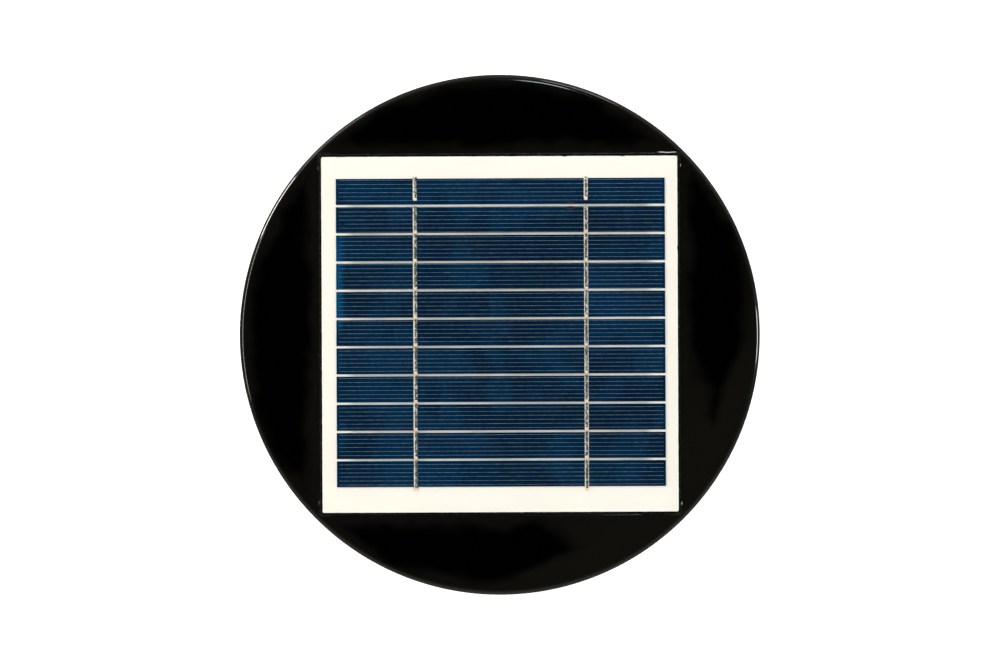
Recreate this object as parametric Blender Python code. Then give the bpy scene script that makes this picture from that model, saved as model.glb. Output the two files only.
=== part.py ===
"""A small round solar attic fan, in metres, +Z up.

A black weather cap carries a square eleven-cell solar panel. Under the cap, a direct-current
motor drives a five-blade wheel in the collar that passes through the roof. Air rises through
the inlet guard, over the collar's rim and out through the insect screen, below the cap's skirt.

The origin is the centre of the collar's lower rim. Every sub-part is its own object. The fan's
moving pieces hang on the empty fan_axis, and the rocker's origin is on its own pivot.
"""

import math

import bmesh
import bpy
from mathutils import Matrix, Vector

MM = 0.001
GAP = 0.3 * MM                      # clearance between pieces that touch
CUT_PAST = 2.0 * MM                 # how far a cutter runs past the face it opens
LAMINATE_GAP = 0.15 * MM            # the same between the panel's thin layers

# Weather cap
CAP_RADIUS = 123.5 * MM
CAP_TOP = 100.0 * MM
CAP_THICKNESS = 4.0 * MM
CAP_WALL = 3.0 * MM
CAP_EDGE = 2.4 * MM                 # radius of the rounded upper edge
CAP_HOLE_RADIUS = 21.0 * MM         # room for the junction box
SKIRT_BOTTOM = 62.0 * MM
CAP_UNDERSIDE = CAP_TOP - CAP_THICKNESS
SKIRT_INNER = CAP_RADIUS - CAP_WALL

# Solar panel, let into a shallow pocket in the cap
PANEL_SIDE = 170.0 * MM
PANEL_CORNER = 0.8 * MM
PANEL_SHIFT = 0.4 * MM              # the panel sits this far off centre, along +Y
PANEL_TURN = math.radians(0.25)
POCKET_MARGIN = 0.9 * MM
POCKET_DEPTH = 1.5 * MM
ADHESIVE_THICKNESS = 0.7 * MM
ADHESIVE_WIDTH = 12.0 * MM
BOARD_THICKNESS = 1.6 * MM
CELL_COUNT = 11
CELL_LENGTH = 156.0 * MM
CELL_WIDTH = 12.1 * MM
CELL_PITCH = 13.39 * MM
CELL_THICKNESS = 0.3 * MM
CELL_SHIFT_X = 0.3 * MM             # offset of the cell array on the board
CELL_SHIFT_Y = 0.7 * MM
RIBBON_WIDTH = 1.9 * MM
RIBBON_THICKNESS = 0.15 * MM
RIBBON_OVERRUN = 2.2 * MM           # past the last cell
FILM_THICKNESS = 0.3 * MM
POCKET_FLOOR = CAP_TOP - POCKET_DEPTH
ADHESIVE_BOTTOM = POCKET_FLOOR + LAMINATE_GAP
BOARD_BOTTOM = ADHESIVE_BOTTOM + ADHESIVE_THICKNESS + LAMINATE_GAP
BOARD_TOP = BOARD_BOTTOM + BOARD_THICKNESS
CELL_BOTTOM = BOARD_TOP + LAMINATE_GAP
RIBBON_BOTTOM = CELL_BOTTOM + CELL_THICKNESS + LAMINATE_GAP
FILM_BOTTOM = RIBBON_BOTTOM + RIBBON_THICKNESS + LAMINATE_GAP
RIBBON_OFFSETS = (-0.26 * CELL_LENGTH, 0.26 * CELL_LENGTH)

# Base: collar, roof flange and the four posts that carry the cap
THROAT_RADIUS = 75.0 * MM
THROAT_WALL = 2.5 * MM
THROAT_TOP = 74.0 * MM
FLANGE_BOTTOM = 38.0 * MM
FLANGE_THICKNESS = 4.0 * MM
FLANGE_RADIUS = 118.0 * MM
FLANGE_TOP = FLANGE_BOTTOM + FLANGE_THICKNESS
COLLAR_RADIUS = THROAT_RADIUS + THROAT_WALL
GASKET_THICKNESS = 3.5 * MM
ROOF_HOLE_CIRCLE = 106.0 * MM
ROOF_HOLE_RADIUS = 2.6 * MM
POST_ANGLES = (45, 135, 225, 315)
POST_INNER = 102.0 * MM
POST_OUTER = 112.0 * MM
POST_WIDTH = 12.0 * MM
POST_TOP = 84.0 * MM
GUSSET_ANGLES = tuple(22.5 + 45 * step for step in range(8))

# Screws: cap screws run inwards through the skirt, the small ones hold the guard and the pod
CAP_SCREW_HEIGHT = 76.0 * MM
CAP_SCREW_FLOOR = CAP_RADIUS - 3.3 * MM      # floor of the counterbore in the skirt
CAP_SCREW_SHANK = 1.7 * MM
COUNTERBORE_RADIUS = 4.6 * MM
SMALL_SCREW_SHANK = 1.4 * MM
SMALL_SCREW_HOLE = SMALL_SCREW_SHANK + GAP
SMALL_SCREW_LENGTH = 8.0 * MM
MOTOR_SCREW_SHANK = 1.1 * MM
MOTOR_SCREW_HOLE = MOTOR_SCREW_SHANK + GAP

# Insect screen between the flange and the cap
CAGE_INNER = 91.0 * MM
CAGE_OUTER = 93.5 * MM
CAGE_WINDOWS = 16
MESH_INNER = CAGE_OUTER + 2 * GAP
MESH_OUTER = MESH_INNER + 0.4 * MM
SEAT_INNER = 94.8 * MM              # the low rings that hold the screen's foot and head
SEAT_OUTER = 96.4 * MM
SEAT_HEIGHT = 3.0 * MM

# Inlet guard
GUARD_BOTTOM = 8.0 * MM
GUARD_TOP = 11.0 * MM
GUARD_OUTER = 74.3 * MM
GUARD_RING_WIDTH = 1.8 * MM
GUARD_RINGS = (34.0 * MM, 43.5 * MM, 53.0 * MM, 62.5 * MM)
GUARD_PLATE_RADIUS = 22.0 * MM
GUARD_ARM_WIDTH = 3.2 * MM
EAR_RADIUS = 4.2 * MM
LUG_ANGLES = (60, 180, 300)
LUG_RADIUS = 69.5 * MM              # circle of the guard's screws

# Motor pod and motor, on the fan's axis
POD_RADIUS = 19.5 * MM
POD_INNER = 17.5 * MM
POD_BOTTOM = GUARD_TOP + GAP
POD_TOP = 60.0 * MM
POD_ROOF = 2.0 * MM
POD_SCREW_OFFSET = 13.2 * MM
CAN_RADIUS = 16.0 * MM
CAN_BOTTOM = 30.0 * MM
CAN_TOP = 56.2 * MM
CAN_INNER = 14.9 * MM
SHAFT_RADIUS = 1.5 * MM
SHAFT_BORE = SHAFT_RADIUS + GAP
MOTOR_SCREW_OFFSET = 9.0 * MM
BUSH_RADIUS = 3.8 * MM
TAB_RADIUS = 9.6 * MM               # where a brush's soldering tab leaves the end bell

# Fan wheel
HUB_RADIUS = 25.0 * MM
HUB_INNER = 22.0 * MM
HUB_BOTTOM = 44.0 * MM
HUB_TOP = 70.0 * MM
BLADE_COUNT = 5
BLADE_TIP = 69.0 * MM
BLADE_MIDDLE = 56.0 * MM            # height of the blades' mid-plane
BLADE_THICKNESS = 1.8 * MM

# Rocker switch in the middle of the guard
ROCKER_PIVOT_HEIGHT = 8.8 * MM
ROCKER_REACH = 6.6 * MM             # radius of the rocker's rounded ends about the pivot
ROCKER_WIDTH = 7.0 * MM
ROCKER_OFF_TILT = math.radians(11)
BEZEL_BOTTOM = 6.2 * MM
SWITCH_TOP = 20.0 * MM

# Cable from the junction box to the pod
CABLE_RADIUS = 1.3 * MM
CABLE_EYE_RADIUS = 1.65 * MM
CABLE_HIGH = 93.0 * MM              # its height under the cap
CABLE_LOW = 15.5 * MM               # its height where it enters the pod
CABLE_DROP = 72.9 * MM              # its distance from the axis, down the throat's wall
GROMMET_HOLE_RADIUS = 3.0 * MM
WIRE_RADIUS = 0.6 * MM

BIG_ROUND = 64                      # steps round the cap, the base and the gasket
RING_ROUND = 30
HUB_ROUND = 30                      # a multiple of the number of blades
SMALL_ROUND = 20
SCREW_ROUND = 12

FINISHES = {                        # colour, roughness, metallic
    "black_plastic": ((0.012, 0.012, 0.010), 0.18, 0.0),
    "dark_plastic": ((0.020, 0.020, 0.021), 0.45, 0.0),
    "white_board": ((0.93, 0.91, 0.84), 0.45, 0.0),
    "silicon": ((0.004, 0.022, 0.080), 0.25, 0.1),
    "tinned_copper": ((0.70, 0.68, 0.62), 0.35, 1.0),
    "clear_film": ((0.95, 0.96, 0.95), 0.08, 0.0),
    "foam": ((0.030, 0.030, 0.032), 0.90, 0.0),
    "rubber": ((0.018, 0.018, 0.018), 0.75, 0.0),
    "zinc_steel": ((0.62, 0.63, 0.64), 0.35, 1.0),
    "stainless": ((0.66, 0.66, 0.65), 0.28, 1.0),
    "wire_cloth": ((0.60, 0.61, 0.62), 0.35, 1.0),
    "bronze": ((0.55, 0.36, 0.16), 0.45, 1.0),
    "copper": ((0.72, 0.30, 0.14), 0.35, 1.0),
    "brass": ((0.75, 0.55, 0.24), 0.35, 1.0),
    "magnet": ((0.060, 0.058, 0.060), 0.70, 0.2),
    "cable_jacket": ((0.022, 0.022, 0.023), 0.55, 0.0),
    "red_wire": ((0.55, 0.020, 0.015), 0.45, 0.0),
    "black_wire": ((0.015, 0.015, 0.015), 0.45, 0.0),
    "diode_epoxy": ((0.02, 0.02, 0.02), 0.30, 0.0),
}


# ---- shapes: a shape is a list of points and a list of faces ----

def lofted(loops, closed=False):
    """Skin through loops with equal numbers of points. It is capped at both ends, or closed on itself."""
    count = len(loops[0])
    points = [point for loop in loops for point in loop]
    faces = []
    for loop in range(len(loops) if closed else len(loops) - 1):
        low = loop * count
        high = (loop + 1) % len(loops) * count
        for step in range(count):
            after = (step + 1) % count
            corners = (low + step, low + after, high + after, high + step)
            faces.append(corners)
    if not closed:
        faces.append(tuple(range(count)))
        faces.append(tuple(range(len(points) - count, len(points))))
    return points, faces


def turned(profile, steps=SMALL_ROUND, closed=False):
    """Solid of revolution about Z, from (radius, height) corners. Closed leaves a hole through it."""
    loops = []
    for radius, height in profile:
        angles = [2 * math.pi * step / steps for step in range(steps)]
        loops.append([(radius * math.cos(angle), radius * math.sin(angle), height) for angle in angles])
    return lofted(loops, closed)


def tube_shape(inner, outer, bottom, top, steps=SMALL_ROUND):
    return turned([(inner, bottom), (outer, bottom), (outer, top), (inner, top)], steps, closed=True)


def prism(outline, bottom, top):
    return lofted([[(x, y, height) for x, y in outline] for height in (bottom, top)])


def box(low, high):
    outline = [(low[0], low[1]), (high[0], low[1]), (high[0], high[1]), (low[0], high[1])]
    return prism(outline, low[2], high[2])


def radial_plate(outline, width, angle=0.0):
    """Plate on edge: an outline of (radius, height) corners, its width across the radius, at an angle."""
    loops = [[(radius, side * width / 2, height) for radius, height in outline] for side in (-1, 1)]
    return moved(lofted(loops), Matrix.Rotation(math.radians(angle), 4, "Z"))


def ring_sector(inner, outer, bottom, top, start, end, steps):
    """Part of a ring with a rectangular section, between two angles in degrees."""
    loops = []
    for step in range(steps + 1):
        angle = math.radians(start + (end - start) * step / steps)
        corners = ((inner, bottom), (outer, bottom), (outer, top), (inner, top))
        loops.append([(r * math.cos(angle), r * math.sin(angle), height) for r, height in corners])
    return lofted(loops)


def arc(centre, radius, start, end, steps):
    """Points on an arc, from the start angle to the end angle in degrees."""
    angles = [math.radians(start + (end - start) * step / steps) for step in range(steps + 1)]
    return [(centre[0] + radius * math.cos(a), centre[1] + radius * math.sin(a)) for a in angles]


def rounded_rectangle(half_x, half_y, radius, steps=3):
    corners = ((1, 1, 0), (-1, 1, 90), (-1, -1, 180), (1, -1, 270))
    outline = []
    for side_x, side_y, start in corners:
        centre = (side_x * (half_x - radius), side_y * (half_y - radius))
        outline += arc(centre, radius, start, start + 90, steps)
    return outline


def moved(shape, matrix):
    points, faces = shape
    return [tuple(matrix @ Vector(point)) for point in points], faces


def shifted(shape, x=0.0, y=0.0, z=0.0):
    return moved(shape, Matrix.Translation((x, y, z)))


def around(shape, angles):
    """One copy of a shape for each angle about Z, in degrees."""
    return together([moved(shape, Matrix.Rotation(math.radians(angle), 4, "Z")) for angle in angles])


def together(shapes):
    points = []
    faces = []
    for more_points, more_faces in shapes:
        start = len(points)
        points += more_points
        faces += [tuple(start + corner for corner in face) for face in more_faces]
    return points, faces


# ---- objects ----

def clear_scene():
    for old in list(bpy.data.objects):
        bpy.data.objects.remove(old, do_unlink=True)


def finish_material(finish):
    found = bpy.data.materials.get(finish)
    if found:
        return found
    colour, roughness, metallic = FINISHES[finish]
    made = bpy.data.materials.new(finish)
    made.use_nodes = True
    shader = made.node_tree.nodes["Principled BSDF"]
    shader.inputs["Base Color"].default_value = (*colour, 1.0)
    shader.inputs["Roughness"].default_value = roughness
    shader.inputs["Metallic"].default_value = metallic
    return made


def mesh_of(name, shape):
    mesh = bpy.data.meshes.new(name)
    mesh.from_pydata(shape[0], [], shape[1])
    work = bmesh.new()
    work.from_mesh(mesh)
    bmesh.ops.recalc_face_normals(work, faces=work.faces)
    work.to_mesh(mesh)
    work.free()
    mesh.shade_smooth()
    mesh.set_sharp_from_angle(angle=math.radians(35))
    return mesh


def add_part(name, shape, finish, parent=None, location=(0, 0, 0), rotation=(0, 0, 0)):
    part = bpy.data.objects.new(name, mesh_of(name, shape))
    part.data.materials.append(finish_material(finish))
    part.location = location
    part.rotation_euler = rotation
    part.parent = parent
    bpy.context.scene.collection.objects.link(part)
    return part


def add_empty(name, location=(0, 0, 0), rotation=(0, 0, 0)):
    empty = bpy.data.objects.new(name, None)
    empty.location = location
    empty.rotation_euler = rotation
    bpy.context.scene.collection.objects.link(empty)
    return empty


def shape_with(part, tool_name, shape, operation):
    """Joins a shape to a part with UNION, or cuts it away with DIFFERENCE."""
    tool = bpy.data.objects.new(tool_name, mesh_of(tool_name, shape))
    tool.hide_render = True
    tool.display_type = "WIRE"
    tool.matrix_parent_inverse = Matrix.Identity(4)
    tool.parent = part
    bpy.context.scene.collection.objects.link(tool)
    modifier = part.modifiers.new(tool_name, "BOOLEAN")
    modifier.operation = operation
    modifier.object = tool


def drill(radius, start, end):
    """Round cutter or pin along Z."""
    return turned([(radius, start), (radius, end)], SCREW_ROUND)


def along_x(shape):
    """A shape made along Z, turned to lie along +X."""
    return moved(shape, Matrix.Rotation(math.radians(90), 4, "Y"))


def screw_shape(head_radius, head_height, shank_radius, length):
    """Pan-head screw along Z: its head above zero, its shank below."""
    profile = [
        (shank_radius * 0.5, -length),
        (shank_radius, -length + shank_radius),
        (shank_radius, 0.0),
        (head_radius, 0.0),
        (head_radius, head_height * 0.45),
        (head_radius * 0.55, head_height),
    ]
    return turned(profile, SCREW_ROUND)


# ---- cap and panel ----

def build_cap(panel_seat):
    edge_centre = (CAP_RADIUS - CAP_EDGE, CAP_TOP - CAP_EDGE)
    lip = 0.6 * MM
    fillet = 2.0 * MM
    profile = [
        (CAP_HOLE_RADIUS, CAP_UNDERSIDE),
        (CAP_HOLE_RADIUS, CAP_TOP),
        *arc(edge_centre, CAP_EDGE, 90, 0, 4),
        (CAP_RADIUS, SKIRT_BOTTOM + lip),
        (CAP_RADIUS - lip, SKIRT_BOTTOM),
        (SKIRT_INNER, SKIRT_BOTTOM),
        (SKIRT_INNER, CAP_UNDERSIDE - fillet),
        (SKIRT_INNER - fillet, CAP_UNDERSIDE),
        (SEAT_OUTER, CAP_UNDERSIDE),
        (SEAT_OUTER, CAP_UNDERSIDE - SEAT_HEIGHT),
        (SEAT_INNER, CAP_UNDERSIDE - SEAT_HEIGHT),
        (SEAT_INNER, CAP_UNDERSIDE),
    ]
    cap = add_part("top_cap", turned(profile, BIG_ROUND, closed=True), "black_plastic")
    into_cap = CAP_UNDERSIDE + 0.5 * MM
    rib_depth = 6.0 * MM
    rib_start = CAP_HOLE_RADIUS + 2.0 * MM
    rib_end = CAGE_INNER - 3.0 * MM
    rib = radial_plate(
        [
            (rib_start, into_cap),
            (rib_start, CAP_UNDERSIDE - rib_depth),
            (rib_end - rib_depth, CAP_UNDERSIDE - rib_depth),
            (rib_end, CAP_UNDERSIDE - rib_depth / 2),
            (rib_end, into_cap),
        ],
        2.0 * MM,
    )
    boss_face = POST_OUTER + GAP
    boss_back = SKIRT_INNER + 1.2 * MM
    boss_bottom = 70.0 * MM
    boss = radial_plate(
        [
            (boss_face, boss_bottom),
            (boss_back, boss_bottom),
            (boss_back, into_cap),
            (POST_INNER, into_cap),
            (POST_INNER, POST_TOP + GAP),
            (boss_face, POST_TOP + GAP),
        ],
        POST_WIDTH,
    )
    eye_half = 2.5 * MM
    eye_centre = 45.5 * MM
    eye = radial_plate(
        [
            (eye_centre - eye_half, into_cap),
            (eye_centre - eye_half, CABLE_HIGH - eye_half),
            (eye_centre + eye_half, CABLE_HIGH - eye_half),
            (eye_centre + eye_half, into_cap),
        ],
        7.0 * MM,
    )
    additions = [around(rib, GUSSET_ANGLES), around(boss, POST_ANGLES), eye]
    shape_with(cap, "cap_ribs_and_bosses", together(additions), "UNION")
    eye_hole = along_x(drill(CABLE_EYE_RADIUS, eye_centre - 2 * eye_half, eye_centre + 2 * eye_half))
    screw_holes = around(cap_screw_hole(), POST_ANGLES)
    shape_with(cap, "cap_holes", together([shifted(eye_hole, z=CABLE_HIGH), screw_holes]), "DIFFERENCE")
    half = PANEL_SIDE / 2 + POCKET_MARGIN
    pocket = prism(rounded_rectangle(half, half, 2.0 * MM), POCKET_FLOOR, CAP_TOP + 5 * MM)
    shape_with(cap, "panel_pocket", moved(pocket, panel_seat.matrix_basis), "DIFFERENCE")


def cap_screw_hole():
    """Counterbore and clearance hole for one cap screw, along +X."""
    clearance = CAP_SCREW_SHANK + 0.4 * MM
    profile = [
        (clearance, POST_OUTER - 3.0 * MM),
        (clearance, CAP_SCREW_FLOOR),
        (COUNTERBORE_RADIUS, CAP_SCREW_FLOOR),
        (COUNTERBORE_RADIUS, CAP_RADIUS + 3.0 * MM),
    ]
    return shifted(along_x(turned(profile, SCREW_ROUND)), z=CAP_SCREW_HEIGHT)


def build_cap_screws():
    shape = screw_shape(3.7 * MM, 2.6 * MM, CAP_SCREW_SHANK, 15.0 * MM)
    for number, degrees in enumerate(POST_ANGLES, start=1):
        angle = math.radians(degrees)
        reach = CAP_SCREW_FLOOR + GAP
        place = (reach * math.cos(angle), reach * math.sin(angle), CAP_SCREW_HEIGHT)
        turn = (0, math.pi / 2, angle)
        add_part(f"cap_screw_{number}", shape, "stainless", location=place, rotation=turn)


def build_panel(panel_seat):
    half = PANEL_SIDE / 2
    outline = rounded_rectangle(half, half, PANEL_CORNER)
    frame_outer = rounded_rectangle(half - 2 * MM, half - 2 * MM, PANEL_CORNER)
    frame_half = half - 2 * MM - ADHESIVE_WIDTH
    frame_inner = rounded_rectangle(frame_half, frame_half, PANEL_CORNER)
    adhesive_top = ADHESIVE_BOTTOM + ADHESIVE_THICKNESS
    levels = (
        (frame_outer, ADHESIVE_BOTTOM),
        (frame_outer, adhesive_top),
        (frame_inner, adhesive_top),
        (frame_inner, ADHESIVE_BOTTOM),
    )
    frame = lofted([[(x, y, height) for x, y in loop] for loop, height in levels], closed=True)
    add_part("panel_adhesive", frame, "foam", panel_seat)
    add_part("panel_board", prism(outline, BOARD_BOTTOM, BOARD_TOP), "white_board", panel_seat)
    cell_half = (CELL_LENGTH / 2, CELL_WIDTH / 2)
    cell = box((-cell_half[0], -cell_half[1], 0), (cell_half[0], cell_half[1], CELL_THICKNESS))
    first = CELL_SHIFT_Y + CELL_PITCH * (CELL_COUNT - 1) / 2
    for number in range(CELL_COUNT):
        place = (CELL_SHIFT_X, first - CELL_PITCH * number, CELL_BOTTOM)
        add_part(f"cell_strip_{number + 1:02d}", cell, "silicon", panel_seat, place)
    ribbon_half = (RIBBON_WIDTH / 2, first - CELL_SHIFT_Y + CELL_WIDTH / 2 + RIBBON_OVERRUN / 2)
    ribbon = box((-ribbon_half[0], -ribbon_half[1], 0), (ribbon_half[0], ribbon_half[1], RIBBON_THICKNESS))
    for name, offset in zip(("tab_ribbon_left", "tab_ribbon_right"), RIBBON_OFFSETS):
        place = (CELL_SHIFT_X + offset, CELL_SHIFT_Y - RIBBON_OVERRUN / 2, RIBBON_BOTTOM)
        add_part(name, ribbon, "tinned_copper", panel_seat, place)
    recess_x = CELL_LENGTH / 2 + 1.5 * MM
    recess_y = ribbon_half[1] + 2.5 * MM
    film_top = FILM_BOTTOM + FILM_THICKNESS
    bevel = 0.3 * MM
    film_levels = (
        (rounded_rectangle(recess_x, recess_y, PANEL_CORNER), FILM_BOTTOM),
        (rounded_rectangle(recess_x, recess_y, PANEL_CORNER), CELL_BOTTOM),
        (outline, CELL_BOTTOM),
        (outline, film_top - bevel),
        (rounded_rectangle(half - bevel, half - bevel, PANEL_CORNER), film_top),
    )
    film = lofted([[(x, y, height) for x, y in loop] for loop, height in film_levels])
    add_part("clear_cover", film, "clear_film", panel_seat)


def build_junction_box():
    outer = 18.0 * MM
    wall = 1.5 * MM
    bottom = 88.5 * MM
    top = BOARD_BOTTOM - GAP
    profile = [(outer - wall, bottom + wall), (outer - wall, top), (outer, top), (outer, bottom)]
    junction = add_part("junction_box", turned(profile), "dark_plastic")
    exit_hole = along_x(drill(CABLE_EYE_RADIUS, outer - 3 * wall, outer + wall))
    shape_with(junction, "cable_exit", shifted(exit_hole, z=CABLE_HIGH), "DIFFERENCE")
    lead = 0.4 * MM
    body = 1.35 * MM
    body_end = 2.6 * MM
    lead_end = 8.0 * MM
    diode_profile = [
        (lead, -lead_end),
        (lead, -body_end),
        (body, -body_end),
        (body, body_end),
        (lead, body_end),
        (lead, lead_end),
    ]
    diode = along_x(turned(diode_profile, SCREW_ROUND))
    add_part("blocking_diode", diode, "diode_epoxy", location=(0, 7.0 * MM, 94.5 * MM))


# ---- base, gasket and screen ----

def build_base():
    lip = 0.6 * MM
    fillet = 2.0 * MM
    profile = [
        (THROAT_RADIUS, 0.0),
        (COLLAR_RADIUS - lip, 0.0),
        (COLLAR_RADIUS, lip),
        (COLLAR_RADIUS, FLANGE_BOTTOM),
        (FLANGE_RADIUS, FLANGE_BOTTOM),
        (FLANGE_RADIUS, FLANGE_TOP - lip),
        (FLANGE_RADIUS - lip, FLANGE_TOP),
        (SEAT_OUTER, FLANGE_TOP),
        (SEAT_OUTER, FLANGE_TOP + SEAT_HEIGHT),
        (SEAT_INNER, FLANGE_TOP + SEAT_HEIGHT),
        (SEAT_INNER, FLANGE_TOP),
        (COLLAR_RADIUS + fillet, FLANGE_TOP),
        (COLLAR_RADIUS, FLANGE_TOP + fillet),
        (COLLAR_RADIUS, THROAT_TOP - lip),
        (COLLAR_RADIUS - lip, THROAT_TOP),
        (THROAT_RADIUS, THROAT_TOP),
    ]
    base = add_part("base_housing", turned(profile, BIG_ROUND, closed=True), "black_plastic")
    into_flange = FLANGE_TOP - 0.5 * MM
    foot = 3.0 * MM
    post = radial_plate(
        [
            (POST_INNER - foot, into_flange),
            (POST_OUTER + foot, into_flange),
            (POST_OUTER, FLANGE_TOP + foot),
            (POST_OUTER, POST_TOP),
            (POST_INNER, POST_TOP),
            (POST_INNER, FLANGE_TOP + foot),
        ],
        POST_WIDTH,
    )
    into_collar = COLLAR_RADIUS - 0.5 * MM
    gusset_height = 16.0 * MM
    gusset_end = CAGE_INNER - 2.0 * MM
    gusset = radial_plate(
        [
            (into_collar, into_flange),
            (gusset_end, into_flange),
            (gusset_end, FLANGE_TOP + 1.0 * MM),
            (COLLAR_RADIUS + 1.0 * MM, FLANGE_TOP + gusset_height),
            (into_collar, FLANGE_TOP + gusset_height),
        ],
        2.0 * MM,
    )
    into_throat = THROAT_RADIUS + 0.5 * MM
    lug_top = 20.0 * MM
    lug = radial_plate(
        [
            (LUG_RADIUS - 4.0 * MM, POD_BOTTOM),
            (into_throat, POD_BOTTOM),
            (into_throat, lug_top + 4.0 * MM),
            (LUG_RADIUS - 4.0 * MM, lug_top - 1.0 * MM),
        ],
        9.0 * MM,
    )
    eye_height = 4.0 * MM
    eye_inner = CABLE_DROP - CABLE_EYE_RADIUS - 1.0 * MM
    eye = box((eye_inner, -3.5 * MM, 0), (into_throat, 3.5 * MM, eye_height))
    eye_bottoms = (30.0 * MM, THROAT_TOP - eye_height - 1.0 * MM)
    eyes = [shifted(eye, z=bottom) for bottom in eye_bottoms]
    additions = [around(post, POST_ANGLES), around(gusset, GUSSET_ANGLES), around(lug, LUG_ANGLES), *eyes]
    shape_with(base, "posts_ribs_and_lugs", together(additions), "UNION")
    pilot = along_x(drill(CAP_SCREW_SHANK + GAP, POST_OUTER - 8.5 * MM, POST_OUTER + CUT_PAST))
    roof_hole = drill(ROOF_HOLE_RADIUS, FLANGE_BOTTOM - CUT_PAST, FLANGE_TOP + CUT_PAST)
    lug_hole = drill(SMALL_SCREW_HOLE, POD_BOTTOM - CUT_PAST, lug_top - 3 * MM)
    eye_hole = drill(CABLE_EYE_RADIUS, -CUT_PAST, eye_height + CUT_PAST)
    cuts = [
        around(shifted(pilot, z=CAP_SCREW_HEIGHT), POST_ANGLES),
        around(shifted(roof_hole, x=ROOF_HOLE_CIRCLE), GUSSET_ANGLES),
        around(shifted(lug_hole, x=LUG_RADIUS), LUG_ANGLES),
        *[shifted(eye_hole, x=CABLE_DROP, z=bottom) for bottom in eye_bottoms],
    ]
    shape_with(base, "base_holes", together(cuts), "DIFFERENCE")


def build_gasket():
    top = FLANGE_BOTTOM - GAP
    bottom = top - GASKET_THICKNESS
    inner = COLLAR_RADIUS + 1.5 * MM
    outer = FLANGE_RADIUS - 1.0 * MM
    gasket = add_part("roof_gasket", tube_shape(inner, outer, bottom, top, BIG_ROUND), "foam")
    hole = shifted(drill(ROOF_HOLE_RADIUS + GAP, bottom - CUT_PAST, top + CUT_PAST), x=ROOF_HOLE_CIRCLE)
    shape_with(gasket, "gasket_holes", around(hole, GUSSET_ANGLES), "DIFFERENCE")


def cage_shape(inner, outer, levels, windows):
    """Band with rows of windows. Levels are the heights of its hoops' edges, lowest first."""
    bar_share = 0.22
    angles = []
    for window in range(windows):
        angles.append(2 * math.pi * window / windows)
        angles.append(2 * math.pi * (window + bar_share) / windows)
    columns = len(angles)
    points = []
    for height in levels:
        for radius in (inner, outer):
            points += [(radius * math.cos(angle), radius * math.sin(angle), height) for angle in angles]

    def corner(level, side, column):
        return (level * 2 + side) * columns + column % columns

    def is_solid(row, column):
        return 0 <= row < len(levels) - 1 and (row % 2 == 0 or column % 2 == 0)

    faces = []
    for row in range(-1, len(levels) - 1):
        for column in range(columns):
            here = is_solid(row, column)
            if here:
                for side in (0, 1):
                    faces.append((
                        corner(row, side, column),
                        corner(row, side, column + 1),
                        corner(row + 1, side, column + 1),
                        corner(row + 1, side, column),
                    ))
            if here != is_solid(row, (column + 1) % columns):
                faces.append((
                    corner(row, 0, column + 1),
                    corner(row, 1, column + 1),
                    corner(row + 1, 1, column + 1),
                    corner(row + 1, 0, column + 1),
                ))
            if here != is_solid(row + 1, column):
                faces.append((
                    corner(row + 1, 0, column),
                    corner(row + 1, 1, column),
                    corner(row + 1, 1, column + 1),
                    corner(row + 1, 0, column + 1),
                ))
    return points, faces


def build_screen():
    bottom = FLANGE_TOP + GAP
    top = CAP_UNDERSIDE - GAP
    hoop = 3.5 * MM
    inner_hoop = 1.8 * MM
    rows = 3
    row_pitch = (top - bottom - hoop) / rows
    levels = [bottom, bottom + hoop]
    for row in range(1, rows):
        middle = bottom + hoop / 2 + row * row_pitch
        levels += [middle - inner_hoop / 2, middle + inner_hoop / 2]
    levels += [top - hoop, top]
    add_part("screen_cage", cage_shape(CAGE_INNER, CAGE_OUTER, levels, CAGE_WINDOWS), "dark_plastic")
    edge = 0.7 * MM
    cloth = tube_shape(MESH_INNER, MESH_OUTER, bottom + edge, top - edge, BIG_ROUND)
    add_part("insect_mesh", cloth, "wire_cloth")


# ---- guard, switch and pod ----

def build_guard():
    half = GUARD_RING_WIDTH / 2
    edges = [(middle - half, middle + half) for middle in GUARD_RINGS]
    edges.append((GUARD_OUTER - 2.6 * MM, GUARD_OUTER))
    rings = [tube_shape(inner, outer, GUARD_BOTTOM, GUARD_TOP, RING_ROUND) for inner, outer in edges]
    plate = turned([(GUARD_PLATE_RADIUS, GUARD_BOTTOM), (GUARD_PLATE_RADIUS, GUARD_TOP)], RING_ROUND)
    guard = add_part("inlet_guard", together([*rings, plate]), "black_plastic")
    inset = 0.4 * MM
    arm_start = GUARD_PLATE_RADIUS - 3.0 * MM
    arm_end = GUARD_OUTER - 1.2 * MM
    arm = radial_plate(
        [
            (arm_start, GUARD_BOTTOM + inset),
            (arm_end, GUARD_BOTTOM + inset),
            (arm_end, GUARD_TOP - inset),
            (arm_start, GUARD_TOP - inset),
        ],
        GUARD_ARM_WIDTH,
    )
    shape_with(guard, "guard_arms", around(arm, [60 * step for step in range(6)]), "UNION")
    ear = drill(EAR_RADIUS, GUARD_BOTTOM + inset / 2, GUARD_TOP - inset / 2)
    shape_with(guard, "guard_ears", around(shifted(ear, x=LUG_RADIUS), LUG_ANGLES), "UNION")
    hole = drill(SMALL_SCREW_HOLE, GUARD_BOTTOM - CUT_PAST, GUARD_TOP + CUT_PAST)
    cuts = [
        around(shifted(hole, x=LUG_RADIUS), LUG_ANGLES),
        around(shifted(hole, y=POD_SCREW_OFFSET), (0, 180)),
        prism(switch_outline(GAP), GUARD_BOTTOM - CUT_PAST, GUARD_TOP + CUT_PAST),
    ]
    shape_with(guard, "guard_holes", together(cuts), "DIFFERENCE")


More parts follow.
